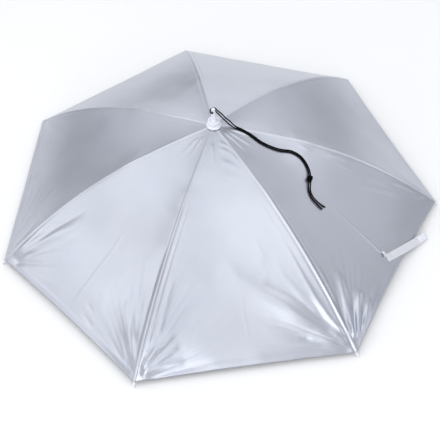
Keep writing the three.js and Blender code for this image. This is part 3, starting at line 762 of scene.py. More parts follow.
# %% Canopy mesh
CLOTH = 0.4 * MM
ROW_STEPS = np.concatenate([np.linspace(0, 0.06, 6)[:-1], np.linspace(0.06, 0.3, 26)[:-1],
                            np.linspace(0.3, 0.9, 41)[:-1], np.linspace(0.9, 1, 24)])
COLUMNS = [42, 42, 102, 102, 102, 52, 34]
RIB_CROWDING = 0.72
CREASE_PLACES = {2: (0.507, 0.016), 3: (0.477, 0.016), 4: (0.478, 0.024)}
SEAM_WIDTH = 11.5 * MM
SEAM_RELIEF = 0.25 * MM
RIDGE_HEIGHT = 0.8 * MM
RIDGE_WIDTH = 2.2 * MM
GROOVE_DEPTH = 0.25 * MM
GROOVE_PLACE = 5.2 * MM
PUCKER_HEIGHT = 0.06 * MM
HEM_WIDTH = 11 * MM
RIB_STRETCH = 1.11
HEM_STEP = 0.35 * MM


def bell(distance, width):
    """A bell curve of a distance over a width."""
    return np.exp(-(distance / width) ** 2)


def seam_relief(gore, share, across, step):
    """Along each rib the cloth stands up in a narrow ridge with a groove beside it. The seam's
    allowance is a low step that ends in a small ridge. Puckers die away from the seam. The hem is a
    low step too."""
    chord = chord_at(share)
    first, second = across * chord, (1 - across) * chord
    allowance = SEAM_RELIEF * (1 - smooth_step(second, SEAM_WIDTH, SEAM_WIDTH + 1.2 * MM))
    edge = 0.2 * MM * bell(second - SEAM_WIDTH, 1.5 * MM)
    nearest = np.minimum(first, second)
    groove = GROOVE_DEPTH * bell(nearest - GROOVE_PLACE, 1.8 * MM)
    ridge = RIDGE_HEIGHT * bell(nearest, RIDGE_WIDTH) - groove
    along = share * RADIUS
    ripple = np.sin(along / (4.3 * MM)) + 0.6 * np.sin(along / (2.9 * MM) + 2.0 * gore)
    pucker = PUCKER_HEIGHT * ripple * (bell(first, 7 * MM) + bell(second, 12 * MM))
    grown = 0.3 + 0.7 * smooth_step(share, 0.15, 0.75)
    hem_line = 1 - HEM_WIDTH / RADIUS
    hem = HEM_STEP * smooth_step(step, hem_line - 0.003, hem_line)
    hem = hem + 0.1 * MM * bell(step - hem_line, 0.004)
    return (allowance + edge + pucker) * grown + ridge * (0.2 + 0.8 * grown) + hem


WAVES = [(0.22, 31.0, 12.0, 0.4), (0.18, -17.0, 38.0, 1.9), (0.14, 52.0, -33.0, 3.1),
         (0.10, 71.0, 64.0, 5.0)]


def unevenness(plan):
    """Slow waves of a few directions, well under a millimetre high: stretched cloth is never a true
    surface, and its gloss shows it."""
    x, y = plan[..., 0], plan[..., 1]
    return sum(high * MM * np.sin(across * x + along * y + phase) for high, across, along, phase in WAVES)


def cloth_surface(gore, step, across):
    """Points of a gore at steps from the post's hole to the hem, whose middle is drawn in."""
    drawn = HEM_DRAW[gore] / RADIUS * 4 * across * (1 - across) * step ** 3
    share = CLOTH_START + (1 - CLOTH_START) * step - drawn
    plan = plan_of(gore, share, across)
    calm = smooth_step(step, 0.04, 0.2) * np.minimum(1, 12 * across * (1 - across))
    height = cloth_height(gore, share, across) + seam_relief(gore, share, across, step)
    height += unevenness(plan) * calm
    return np.concatenate([plan, height[..., None]], axis=-1) + AXIS, share


def tension_map(gore, plan, across):
    """Angle about the nearer tip from its rib, and distance from that tip."""
    second = across > 0.5
    tips = [rib_way(gore) * RADIUS, rib_way(gore + 1) * RADIUS]
    tip = np.where(second[..., None], tips[1], tips[0])
    offset = plan - tip
    turn = tip[..., 0] * offset[..., 1] - tip[..., 1] * offset[..., 0]
    angle = np.arctan2(turn, -(tip * offset).sum(-1))
    return np.stack([angle + 3.0 * (gore + second), np.linalg.norm(offset, axis=-1)], axis=-1)


# Painted light along the ribs: each rib's painted highlight strength, its place and width, then each rib's
# painted shade line strength, their places and width.
PAINTED_HIGHLIGHTS = np.array([0.2, 0.5, 0.8, 1.0, 1.0, 1.0, 0.4])
HIGHLIGHT_PLACE, HIGHLIGHT_WIDTH = 1.2 * MM, 2.6 * MM
PAINTED_SHADE_LINES = np.array([0.8, 0.7, 0.7, 1.0, 0.2, 0.6, 0.5])
SHADE_PLACES, SHADE_WIDTH = (-4.2 * MM, 6 * MM), 2.2 * MM


def seam_painted_light(gore, share, across, chord):
    """A painted highlight just past each rib on its own gore, and a painted shade line either side of it.
    Each is its rib's own strength on the line and 0 a width away, and grows in over the inner half of the
    seam."""
    rib = np.where(across < 0.5, gore, gore + 1) % len(PAINTED_HIGHLIGHTS)
    aside = np.where(across < 0.5, across, across - 1) * chord
    grown = smooth_step(share, 0.22, 0.55)
    # line is the painted highlight; left and right are the painted shade lines.
    line = np.maximum(0, 1 - np.abs(aside - HIGHLIGHT_PLACE) / HIGHLIGHT_WIDTH) * PAINTED_HIGHLIGHTS[rib] * grown
    left, right = (np.maximum(0, 1 - np.abs(aside - place) / SHADE_WIDTH) for place in SHADE_PLACES)
    return np.stack([line, (left + right) * PAINTED_SHADE_LINES[rib] * grown], axis=-1)


def gore_columns(gore):
    """Shares across a gore, crowded towards its ribs, with a fine band where its middle crease lies."""
    t = np.linspace(0, 1, COLUMNS[gore] + 1)
    column = t - RIB_CROWDING * np.sin(2 * np.pi * t) / (2 * np.pi)
    if gore not in CREASE_PLACES:
        return column
    middle, reach = CREASE_PLACES[gore]
    band = middle + np.linspace(-reach, reach, 13)
    return np.sort(np.concatenate([column[np.abs(column - middle) > reach * 1.05], band]))


def canopy_gore(gore):
    """Points, surface metres, tension map and the masks of the painted highlight and painted shade along the
    seams of a gore: rows outward, columns across. A rib is taken as RIB_STRETCH times as long as it reaches
    in plan."""
    step, across = np.meshgrid(ROW_STEPS, gore_columns(gore), indexing="ij")
    points, share = cloth_surface(gore, step, across)
    chord = chord_at(share)
    flat = np.stack([(across - 0.5) * chord + gore, share * RADIUS * RIB_STRETCH], axis=-1)
    tension = tension_map(gore, (points - AXIS)[..., :2], across)
    return points, flat, tension, seam_painted_light(gore, share, across, chord)


def canopy_piece():
    """The gores side by side: each leaves its last column to its neighbour's first."""
    gores = [canopy_gore(gore) for gore in range(GORES)]
    points = np.concatenate([gore[0][:, :-1] for gore in gores], axis=1)
    faces = grid_faces(*points.shape[:2], ring=True)
    surface, tension, seam = (np.concatenate([corner_pairs(gore[i]) for gore in gores], axis=1)
                              for i in (1, 2, 3))
    piece = mesh_piece("canopy", points, faces.tolist(), surface)
    add_uv(piece.data, "tension", tension)
    # The seam map holds the masks of the painted highlight and painted shade along the ribs.
    add_uv(piece.data, "seam", seam)
    return piece


canopy = canopy_piece()
wall = canopy.modifiers.new("cloth thickness", "SOLIDIFY")
wall.thickness = CLOTH
wall.offset = -1
wall.material_offset = 1
dress(canopy, [SILVER, BACK], [f"canopy_gore_{k + 1}" for k in range(GORES)])
print("canopy faces:", len(canopy.data.polygons))

# %% [markdown]
# ## Stitches
# The seam allowance is topstitched beside each rib, and the hem all the way round. A stitch is a
# short thread that rises out of the cloth, runs along it and goes in again. There are thousands,
# so each has only a few faces, and all of them are one mesh.

# %% Seam and hem stitches
THREAD_RADIUS = 0.17 * MM
STITCH = 2.7 * MM
STITCH_GAP = 0.7 * MM
SEAM_INSET = 8.5 * MM
HEM_INSET = 8 * MM


def stitch_lines(path, normal):
    """Stitches laid end to end along a path: four points each, sunk at the ends, over it between."""
    run = path_length(path)
    starts = np.arange(0, run[-1] - STITCH, STITCH + STITCH_GAP)
    along = starts[:, None] + np.array([0, 0.2, 0.8, 1]) * STITCH
    lift = np.array([-0.15, 0.1, 0.1, -0.15]) * MM
    place = np.stack([np.interp(along, run, path[:, i]) for i in range(3)], axis=-1)
    over = unit(np.stack([np.interp(along, run, normal[:, i]) for i in range(3)], axis=-1))
    return place + lift[:, None] * over, over[:, 1]


def cloth_line(gore, step, across):
    """Points of a line on a gore's surface, and the surface's normals there."""
    here = cloth_surface(gore, step, across)[0]
    out = cloth_surface(gore, step + 1e-3, across)[0] - here
    aside = cloth_surface(gore, step, across + 1e-3)[0] - here
    return here, unit(np.cross(aside, out))


def canopy_stitches():
    """One row along each seam allowance and one along each gore's hem."""
    step = np.linspace(0.05, 0.975, 700)
    across = np.linspace(0.01, 0.99, 600)
    seam_chord = chord_at(CLOTH_START + (1 - CLOTH_START) * step)
    hem = np.full_like(across, 1 - HEM_INSET / RADIUS)
    rows = []
    for gore in range(GORES):
        rows.append(stitch_lines(*cloth_line(gore, step, 1 - SEAM_INSET / seam_chord)))
        rows.append(stitch_lines(*cloth_line(gore, hem, across)))
    return rows


def stitch_piece(name, rows):
    """All the stitches of some rows as one mesh."""
    lines, over = (np.concatenate([row[i] for row in rows]) for i in (0, 1))
    dress(small_tubes(name, lines, over, THREAD_RADIUS, 5), [THREAD])
    print(name, len(lines))


stitch_piece("canopy_stitches", canopy_stitches())

# %% [markdown]
# ## The cord
# A black braided cord goes through the post's cross hole, and both its ends run down the cloth,
# side by side, to one knot with two short tails. Each strand leaves the hole straight, bends over
# and then lies on the cloth. Its route is a short list of given points: near the post as heights
# over the canopy's top, and further out as heights over the cloth under them.

# %% The cord's route
CORD_RADIUS = 1.4 * MM
HOLE_HEIGHT = 37 * MM
HOLE_TURN = np.radians(249)
NECK_RADIUS = 4.2 * MM
STRAND_A = [(-2.4, -6.0, 37.3), (-4.4, -5.2, 38.4), (-5.9, -2.2, 39.8), (-5.2, 2.2, 40.8),
            (-1.8, 5.6, 41.2), (3.2, 7.4, 39.2), (10.2, 5.6, 31.2), (15.9, 4.2, 26.2), (22.5, 2.4, 17.6),
            (32.1, 0.2, 8.2)]
STRAND_B = [(3.8, 5.2, 34.6), (5.8, 3.6, 32.4), (8.4, 2.2, 29.8), (11.6, 0.9, 26.6), (15.4, -0.4, 22.0),
            (20.8, -1.8, 15.2), (26.8, -3.2, 8.2), (32.6, -5.0, 2.2)]
PAIR = [(42.0, -6.0, 2.6, 2.4), (51.3, -9.6, 2.2, 1.9), (62.8, -15.9, 2.2, 1.7),
        (73.7, -22.9, 2.2, 1.7), (89.4, -34.6, 2.2, 1.7), (108.6, -43.5, 2.2, 1.7),
        (128.1, -48.1, 2.2, 1.7), (151.5, -49.0, 2.2, 1.7), (167.6, -56.3, 2.2, 1.7),
        (176.6, -66.9, 2.2, 1.7), (182.2, -80.0, 2.6, 1.7), (183.6, -88.6, 3.6, 1.7)]
KNOT = (183.2, -101.6, 5.6)
TAIL_A = [(183.9, -112.4, 4.4), (182.6, -119.6, 3.0), (183.0, -128.0, 2.2), (187.6, -137.9, 2.2),
          (195.8, -145.4, 2.2), (203.4, -149.6, 2.2), (210.3, -152.3, 2.2)]
TAIL_B = [(180.2, -112.4, 4.4), (178.8, -120.4, 3.0), (179.6, -129.6, 2.2), (184.0, -140.4, 2.2),
          (192.3, -149.6, 2.2), (198.7, -155.2, 2.2), (203.8, -158.2, 2.2)]


def over_top(rows):
    """Points given as heights over the canopy's top."""
    return np.array(rows) * MM + [0, 0, RISE]


def over_cloth(rows):
    """Points given as heights over the cloth under them."""
    rows = np.array(rows) * MM
    return np.array([[x, y, height_at(x, y) + up] for x, y, up in rows])


def beside_pair(side):
    """The pair's middle line, moved square to its own way by half the distance between strands."""
    rows = np.array(PAIR)
    plan = rows[:, :2]
    way = unit(np.vstack([plan[1] - plan[0], plan[2:] - plan[:-2], plan[-1] - plan[-2]]))
    aside = np.stack([-way[:, 1], way[:, 0]], axis=1) * rows[:, 3:] * side
    return over_cloth(np.column_stack([plan + aside, rows[:, 2]]))


knot_middle = over_cloth([KNOT])[0]
knot_way = unit((over_cloth(TAIL_A[:1]) + over_cloth(TAIL_B[:1]))[0] / 2 - over_cloth([PAIR[-1][:3]])[0])
knot_side = unit(np.array([-knot_way[1], knot_way[0], 0]))
HOLE_WAY = np.array([np.cos(HOLE_TURN), np.sin(HOLE_TURN), 0])
HOLE_MIDDLE = np.array([0, 0, RISE + HOLE_HEIGHT])


def relaxed(path, passes):
    """Each inner point moves to a quarter of each neighbour and half of itself, a few times over,
    as a limp cord eases its tightest bends."""
    for _ in range(passes):
        path = np.vstack([path[:1], (path[:-2] + 2 * path[1:-1] + path[2:]) / 4, path[-1:]])
    return path


def cord_route(start, mouth, side, tail):
    """Hole, start, pair, straight through the knot, tail."""
    hole = HOLE_MIDDLE + np.outer([GAP / 2, NECK_RADIUS + CORD_RADIUS], HOLE_WAY) * mouth
    inside = knot_middle + np.outer([-5.5 * MM, 5.5 * MM], knot_way) + knot_side * side * 1.5 * MM
    knots = np.vstack([hole, over_top(start), beside_pair(side), inside, over_cloth(tail)])
    return relaxed(smooth_path(knots + AXIS, 0.8 * MM), 8)


# %% [markdown]
# The cord is a tube with the relief of a braid: strands that run round it both ways. The height of
# the braid is the larger of two slanted waves, so that one set of strands passes over the other.

# %% Cord pieces
CORD_SIDES = 16
BRAID_PITCH = 5.2 * MM
BRAID_STRANDS = 4


def braid_radius(path):
    """The cord's radius, less a little where neither of two opposite spirals is high."""
    run = path_length(path)[:, None] * 2 * np.pi / BRAID_PITCH
    turn = 2 * np.pi * np.arange(CORD_SIDES)[None, :] / CORD_SIDES * BRAID_STRANDS
    high = np.maximum(np.cos(run + turn), np.cos(run - turn))
    return CORD_RADIUS * (0.95 + 0.05 * high)


def cord_piece(name, route, nodes):
    """A braided tube whose last few millimetres close in, as a cut end that was melted."""
    radius = braid_radius(route)
    left = path_length(route)[-1] - path_length(route)
    radius = radius * np.sqrt(np.clip(left / (1.2 * MM), 0.16, 1))[:, None]
    piece = tube_piece(name, route, radius, CORD_SIDES)
    return dress(piece, [BRAID], nodes)


route_a = cord_route(STRAND_A, 1, 1, TAIL_A)
route_b = cord_route(STRAND_B, -1, -1, TAIL_B)
cord_a = cord_piece("carrying_cord_a", route_a, ["cord_strand_a", "cord_tail_a"])
cord_b = cord_piece("carrying_cord_b", route_b, ["cord_strand_b", "cord_tail_b"])

# %% [markdown]
# The knot is the two strands tied together once. A pulled overhand knot is a trefoil curve, so one
# turn of a trefoil, flattened onto the strands and drawn tight, stands for it.

# %% Knot
KNOT_SIZES = (1.55, 1.2, 4.4)
KNOT_RADIUS = CORD_RADIUS * 1.25
KNOT_SIDES = 14


def knot_piece():
    """A trefoil: sin t + 2 sin 2t and cos t - 2 cos 2t in its plane, -sin 3t along the strands."""
    t = np.linspace(0, 2 * np.pi, 121)
    wide, high, long = KNOT_SIZES
    over = np.cross(knot_way, knot_side)
    aside = (np.sin(t) + 2 * np.sin(2 * t)) * wide * MM
    up = (np.cos(t) - 2 * np.cos(2 * t)) * high * MM
    along = -np.sin(3 * t) * long * MM
    path = knot_middle + AXIS + np.outer(aside, knot_side) + np.outer(up, over) + np.outer(along, knot_way)
    points = tube_grid(path, KNOT_RADIUS, KNOT_SIDES, reference=knot_way)[:-1]
    uv = grid_uv(path_length(path), np.linspace(0, 2 * np.pi * CORD_RADIUS, KNOT_SIDES + 1))
    return mesh_piece("cord_knot_turns", points, joined_faces(len(path), KNOT_SIDES), uv)


knot = dress(knot_piece(), [BRAID], ["cord_knot"])

# %% [markdown]
# ## The post, the hub and the cap
# These are turned shapes with soft moulded edges. The post tapers to a pierced neck. Its cross hole
# is cut with a Boolean modifier, which is then applied, so that no cutter stays in the scene.

# %% Hub with its post
HUB_RADIUS = 17 * MM
HUB_DEPTH = 11 * MM
POST_RADIUS = 7 * MM
POST_END_RADIUS = 3.2 * MM
CAP_HEIGHT = 13.5 * MM
HOLE_RADIUS = 2.1 * MM


def under_cloth(radius):
    """Height just under the cloth's inner face at a gore's middle."""
    share = np.array(radius / RADIUS / np.cos(HALF_GORE))
    return float(cloth_height(0, share, 0.5)) - 1.5 * MM


def hub_profile():
    """Flat underside, a flange with a groove round its side, shoulder under the cloth, tapering post."""
    top = under_cloth(HUB_RADIUS)
    low = top - HUB_DEPTH
    waist = HUB_RADIUS - 1.1 * MM
    rows = [(0.2 * MM, low), (HUB_RADIUS, low), (HUB_RADIUS, low + HUB_DEPTH * 0.38),
            (waist, low + HUB_DEPTH * 0.44), (waist, low + HUB_DEPTH * 0.6),
            (HUB_RADIUS, low + HUB_DEPTH * 0.66), (HUB_RADIUS, top),
            (POST_RADIUS, under_cloth(POST_RADIUS)), (POST_RADIUS, RISE + CAP_HEIGHT),
            ((POST_RADIUS + NECK_RADIUS) / 2, RISE + CAP_HEIGHT + 6 * MM),
            (NECK_RADIUS * 1.08, RISE + (CAP_HEIGHT + HOLE_HEIGHT) / 2 + 3 * MM),
            (NECK_RADIUS, RISE + HOLE_HEIGHT), (POST_END_RADIUS * 1.15, RISE + POST_HEIGHT - 1.2 * MM),
            (POST_END_RADIUS * 0.7, RISE + POST_HEIGHT), (0.2 * MM, RISE + POST_HEIGHT)]
    return rounded(np.array(rows), 0.8 * MM, 5)


def cut_away(piece, tool):
    """Subtracts the tool from the piece with a Boolean modifier and keeps the result as its mesh."""
    cut = piece.modifiers.new("cut", "BOOLEAN")
    cut.object = tool
    cut.solver = "EXACT"
    graph = bpy.context.evaluated_depsgraph_get()
    result = bpy.data.meshes.new_from_object(piece.evaluated_get(graph))
    piece.modifiers.clear()
    piece.data = result
    bpy.data.objects.remove(tool)


hub = turned_piece("hub_and_post", hub_profile(), 64)
ends = np.outer([-2.5 * POST_RADIUS, 2.5 * POST_RADIUS], HOLE_WAY) + HOLE_MIDDLE + AXIS
drill = tube_piece("drill", ends[0] + np.outer(np.linspace(0, 1, 5), ends[1] - ends[0]), HOLE_RADIUS, 32)
cut_away(hub, drill)
dress(hub, [PLASTIC], ["hub"])
print("hub and post:", len(hub.data.polygons), "faces after the cut")

# %% Cap
SKIRT_RADIUS = 15 * MM
SKIRT_HEIGHT = 3 * MM
BARREL_RADIUS = 12 * MM
cap_foot = float(cloth_height(0, np.array(CLOTH_START), 0.0)) + GAP
cap_bore = POST_RADIUS + GAP
cap_top = RISE + CAP_HEIGHT
skirt_top = cap_foot + SKIRT_HEIGHT
cap_profile = np.array([
    (cap_bore, cap_foot), (SKIRT_RADIUS, cap_foot), (SKIRT_RADIUS, skirt_top),
    (BARREL_RADIUS + 0.7 * MM, skirt_top + 0.5 * MM), (BARREL_RADIUS, skirt_top + 1.6 * MM),
    (BARREL_RADIUS, cap_top), (cap_bore + 1.2 * MM, cap_top), (cap_bore, cap_top - 1.2 * MM),
    (cap_bore, cap_foot)])
cap = turned_piece("ferrule_cap_moulding", rounded(cap_profile, 1.6 * MM, 6)[:-1], 72, closed=True)
dress(cap, [PLASTIC], ["ferrule_cap"])
print("cap height over the cloth:", round(cap_top - cap_foot, 4))

# %% [markdown]
# ## Ribs
# A rib is two wires that meet in a pressed sleeve, where it folds, and end in a moulded tip that
# holds the cloth's corner. They lie just under the seam. The path of a wire is the rib's own curve,
# moved inwards square to the cloth.

# %% Rib pieces
ROD_RADIUS = 1.5 * MM
ROD_DROP = 3.8 * MM
JOINT_RADIUS = 2.9 * MM
JOINT_LENGTH = 26 * MM
TIP_LENGTH = 22 * MM
TIP_REACH = 12 * MM
TIP_RADIUS = 2.4 * MM
RIB_START = (HUB_RADIUS + 3 * GAP) / RADIUS
INNER_END = JOINT_SHARE - JOINT_LENGTH / 2 / RADIUS
OUTER_START = JOINT_SHARE + JOINT_LENGTH / 2 / RADIUS
TIP_BACK = TIP_LENGTH - TIP_REACH
OUTER_END = 1 - (TIP_BACK + GAP) * np.cos(np.arctan(rib_slope(1))) / RADIUS


def rib_path(k, share, drop=ROD_DROP):
    """Points under a rib's ridge, moved against the ridge's normal by the drop."""
    share = np.atleast_1d(share)
    way = rib_way(k)
    ridge = np.column_stack([share[:, None] * RADIUS * way, rib_height(share)])
    normal = unit(np.column_stack([-rib_slope(share)[:, None] * way, np.ones(len(share))]))
    return ridge - drop * normal + AXIS


def rib_wire(name, k, start, end, node):
    """A round bar along a part of a rib."""
    path = rib_path(k, np.linspace(start, end, 40))
    return dress(tube_piece(name, path, ROD_RADIUS, 16), [WIRE], [node])


def rib_sleeve(k):
    """A sleeve with rolled ends and two crimped grooves."""
    start, end = rib_path(k, [INNER_END, OUTER_START])
    length = np.linalg.norm(end - start)
    rows = [(0.3 * MM, 0), (JOINT_RADIUS * 0.8, 0), (JOINT_RADIUS, 1.6 * MM)]
    for middle in (0.3, 0.7):
        rows += [(JOINT_RADIUS, (middle - 0.06) * length), (JOINT_RADIUS * 0.86, middle * length),
                 (JOINT_RADIUS, (middle + 0.06) * length)]
    rows += [(JOINT_RADIUS, length - 1.6 * MM), (JOINT_RADIUS * 0.8, length), (0.3 * MM, length)]
    profile = rounded(np.array(rows), 0.6 * MM, 3)
    piece = turned_piece(f"rib_sleeve_{k + 1}", profile, 20, start, unit(end - start))
    return dress(piece, [SLEEVE], [f"rib_joint_{k + 1}"])


def rib_end(k):
    """A moulded tip: socket over the wire, collar against the cloth's corner, rounded end."""
    way = unit(np.append(rib_way(k), rib_slope(1)))
    back = rib_path(k, 1)[0] - way * TIP_BACK
    rows = [(0.3 * MM, 0), (ROD_RADIUS, 0), (ROD_RADIUS * 1.1, TIP_BACK), (TIP_RADIUS, TIP_BACK + 1.2 * MM),
            (TIP_RADIUS, TIP_BACK + 3.4 * MM), (TIP_RADIUS * 0.78, TIP_BACK + 4.6 * MM),
            (TIP_RADIUS * 0.82, TIP_LENGTH - 5 * MM), (TIP_RADIUS, TIP_LENGTH - 3.6 * MM),
            (TIP_RADIUS, TIP_LENGTH - 1.4 * MM), (TIP_RADIUS * 0.55, TIP_LENGTH), (0.3 * MM, TIP_LENGTH)]
    piece = turned_piece(f"rib_tip_moulding_{k + 1}", rounded(np.array(rows), 0.9 * MM, 4), 24, back, way)
    return dress(piece, [PLASTIC], [f"rib_tip_{k + 1}"])


for k in range(GORES):
    rib_wire(f"rib_inner_wire_{k + 1}", k, RIB_START, INNER_END - GAP / RADIUS, f"rib_inner_{k + 1}")
    rib_wire(f"rib_outer_wire_{k + 1}", k, OUTER_START + GAP / RADIUS, OUTER_END, f"rib_outer_{k + 1}")
    rib_sleeve(k)
    rib_end(k)

# %% [markdown]
# ## The headband and its stays
# The band is knitted elastic, a ring with fine lengthwise cords and a rolled edge. A bent wire
# from each rib holds it. The band's profile is a closed loop of radii and heights: two straight
# walls with small waves, and round edges.

# %% Headband
BAND_RADIUS = 90 * MM
BAND_WALL = 2 * MM
BAND_HEIGHT = 28 * MM
BAND_TOP = RISE - 105 * MM
BAND_CORDS = 11
BAND_WAVE = 0.12 * MM


def band_profile():
    """Outer wall up and inner wall down: each is a half wave for each lengthwise cord."""
    t = np.linspace(0.02, 0.98, 12 * BAND_CORDS + 1)
    wave = BAND_WAVE * np.abs(np.sin(np.pi * BAND_CORDS * t))
    edge = BAND_WALL / 2 - (BAND_WALL / 2) * (1 - smooth_step(np.minimum(t, 1 - t), 0.0, 0.05)) * 0.6
    height = BAND_TOP - BAND_HEIGHT + BAND_HEIGHT * t
    middle = BAND_RADIUS - BAND_WALL / 2
    outer = np.column_stack([middle + edge - BAND_WAVE + wave, height])
    inner = np.column_stack([middle - edge + BAND_WAVE - wave, height])[::-1]
    return np.vstack([outer, inner])


band = turned_piece("headband_elastic", band_profile(), 144, closed=True)
dress(band, [ELASTIC], ["headband"])

# %% Stays
STAY_RADIUS = 1.4 * MM
STAY_SHARE = 0.3
STAY_FOOT = BAND_RADIUS + GAP + STAY_RADIUS


def stay_piece(k):
    """From the rib down to the band, and down the band's outer face."""
    drop = ROD_DROP + ROD_RADIUS + GAP
    way = rib_way(k)
    low = [(STAY_FOOT + 6 * MM, BAND_TOP + 12 * MM), (STAY_FOOT, BAND_TOP - 2 * MM),
           (STAY_FOOT, BAND_TOP - 16 * MM)]
    feet = np.array([[*(way * radius), height] for radius, height in low]) + AXIS
    knots = np.vstack([rib_path(k, STAY_SHARE, drop), rib_path(k, STAY_SHARE, drop + 6 * MM), feet])
    side = np.array([-way[1], way[0], 0])
    piece = tube_piece(f"stay_wire_{k + 1}", smooth_path(knots, 2 * MM), STAY_RADIUS, 14, reference=side)
    return dress(piece, [WIRE], [f"head_stay_{k + 1}"])


for k in range(GORES):
    stay_piece(k)
print("stays:", GORES, "band inner diameter", round(2 * (BAND_RADIUS - BAND_WALL), 3))

# %% [markdown]
# ## The closing strap
# A short woven tape is sewn to one gore near its hem. It lies out over the hem and carries a patch
# of hook tape at its end. Beside its sewn end a small tab of the same tape is folded over. On the
# cloth the strap follows the cloth's height, and past the hem it runs straight on.

# %% Strap surface
STRAP_GORE = 2
STRAP_WAY = np.array([np.cos(np.radians(36)), np.sin(np.radians(36))])
STRAP_SIDE = np.array([-STRAP_WAY[1], STRAP_WAY[0]])
STRAP_WIDTH = 17 * MM
STRAP_LENGTH = 130 * MM
STRAP_ON_CLOTH = 55 * MM
STRAP_LEVEL = 0.69
STRAP_THICK = 1.5 * MM
LAY = 0.5 * MM
PATCH_LENGTH = 24 * MM
PATCH_START = STRAP_LENGTH - PATCH_LENGTH - 2 * MM
PATCH_END = STRAP_LENGTH - 2 * MM
PATCH_FOOT = STRAP_THICK + GAP
PATCH_TOP = PATCH_FOOT + 0.5 * MM
STRAP_ROOT = plan_of(STRAP_GORE, 0.928, 0.503)


def plan_unit(way):
    """How far a metre on the sloping cloth reaches in plan."""
    slope = (height_at(*(STRAP_ROOT + way * MM)) - height_at(*STRAP_ROOT)) / MM
    return 1 / np.hypot(1, slope)


ALONG_UNIT, ASIDE_UNIT = plan_unit(STRAP_WAY), plan_unit(STRAP_SIDE)


def cloth_under(plan):
    """Cloth heights under an array of plan points on the strap's gore."""
    basis = np.stack([rib_way(STRAP_GORE), rib_way(STRAP_GORE + 1)], axis=1)
    shares = plan @ np.linalg.inv(basis).T / RADIUS
    share = shares.sum(axis=-1)
    return cloth_height(STRAP_GORE, share, shares[..., 1] / share)


def strap_surface(along, aside, lift):
    """Plan from the root along the strap and aside from it. Height of the cloth up to the hem, then
    on at a gentler slope."""
    def plan(t):
        out = STRAP_ROOT + (t * ALONG_UNIT)[..., None] * STRAP_WAY
        return out + (aside * ASIDE_UNIT)[..., None] * STRAP_SIDE

    edge = np.full_like(along, STRAP_ON_CLOTH)
    step = 10 * MM
    slope = STRAP_LEVEL * (cloth_under(plan(edge)) - cloth_under(plan(edge - step))) / step
    past = np.maximum(0, along - STRAP_ON_CLOTH)
    height = cloth_under(plan(along - past)) + slope * past + LAY + lift
    return np.concatenate([plan(along), height[..., None]], axis=-1) + AXIS


def strap_piece(name, start, end, half, low, high, rows, columns):
    """A flat tape: its section is a flattened oval, carried along the strap's surface."""
    turn = 2 * np.pi * np.arange(columns) / columns
    flat = np.sign(np.cos(turn)) * np.abs(np.cos(turn)) ** 0.35
    thick = np.sign(np.sin(turn)) * np.abs(np.sin(turn)) ** 0.35
    along, aside = np.meshgrid(np.linspace(start, end, rows), flat * half, indexing="ij")
    lift = (low + high) / 2 + (high - low) / 2 * thick
    points = strap_surface(along, aside, np.broadcast_to(lift, along.shape))
    uv = grid_uv(np.linspace(start, end, rows), np.append(flat * half, half), capped=True)
    return mesh_piece(name, points, capped_faces(rows, columns), uv)


strap = strap_piece("closing_strap_tape", 0, STRAP_LENGTH, STRAP_WIDTH / 2, 0, STRAP_THICK, 90, 48)
dress(strap, [WEBBING], ["closing_strap"])
patch = strap_piece("hook_patch_base", PATCH_START, PATCH_END, STRAP_WIDTH / 2 - 1 * MM, PATCH_FOOT,
                    PATCH_TOP, 30, 32)
dress(patch, [HOOKS], ["strap_hook_patch"])
print("strap", STRAP_WIDTH, "by", STRAP_LENGTH)

# %% [markdown]
# The strap is sewn down with a box of stitches, and so is its patch. The patch is hook tape: rows of
# small bent hooks on a woven base. Beside the strap's sewn end a loop of the same tape is folded
# over, an arch with its two feet on the cloth.

# %% Strap stitches and hooks
HOOK_PITCH = 1.3 * MM
NORMAL_PLACE = 0.03
BOX_HALF = STRAP_WIDTH / 2 - 2.2 * MM


def strap_point(along, aside):
    """One point of the strap's surface."""
    return strap_surface(np.array([along]), np.array([aside]), np.zeros(1))[0]


strap_origin = strap_point(NORMAL_PLACE, 0.0)
STRAP_NORMAL = unit(np.cross(strap_point(NORMAL_PLACE + MM, 0.0) - strap_origin,
                             strap_point(NORMAL_PLACE, MM) - strap_origin))


def strap_box(start, end, lift):
    """Stitches round a rectangle on the strap."""
    left, right = -BOX_HALF, BOX_HALF
    corners = np.array([(start, left), (end, left), (end, right), (start, right), (start, left)])
    t = np.linspace(0, 1, 60)[:, None]
    rows = []
    for first, second in zip(corners[:-1], corners[1:]):
        along, aside = (first + (second - first) * t).T
        path = strap_surface(along, aside, np.full(60, lift))
        rows.append(stitch_lines(path, np.tile(STRAP_NORMAL, (60, 1))))
    return rows


def hook_lines():
    """A grid of hooks: each stands up from the patch and bends over along the strap."""
    rows = np.arange(PATCH_START + 1.5 * MM, PATCH_END - 1.5 * MM, HOOK_PITCH)
    columns = np.arange(-STRAP_WIDTH / 2 + 3 * MM, STRAP_WIDTH / 2 - 2.5 * MM, HOOK_PITCH)
    along, aside = (grid.ravel() for grid in np.meshgrid(rows, columns, indexing="ij"))
    reach = np.array([0, 0.02, 0.22, 0.45]) * MM
    rise = np.array([-0.1, 0.45, 0.65, 0.5]) * MM
    return np.stack([strap_surface(along + out, aside, np.full(len(along), PATCH_TOP + up))
                     for out, up in zip(reach, rise)], axis=1)


strap_rows = strap_box(2 * MM, 14 * MM, STRAP_THICK) + strap_box(PATCH_START + MM, PATCH_END - MM, PATCH_TOP)
stitch_piece("strap_stitches", strap_rows)
hooks = hook_lines()
across_strap = np.tile(np.append(STRAP_SIDE, 0.0), (len(hooks), 1))
dress(small_tubes("patch_hooks", hooks, across_strap, 0.14 * MM, 5), [HOOKS])
print("hooks:", len(hooks))

# %% Folded tab
TAB_LENGTH = 6 * MM
TAB_SPAN = 6.5 * MM
TAB_RISE = 4.6 * MM
TAB_WALL = 1.0 * MM
TAB_TURN = np.radians(38)


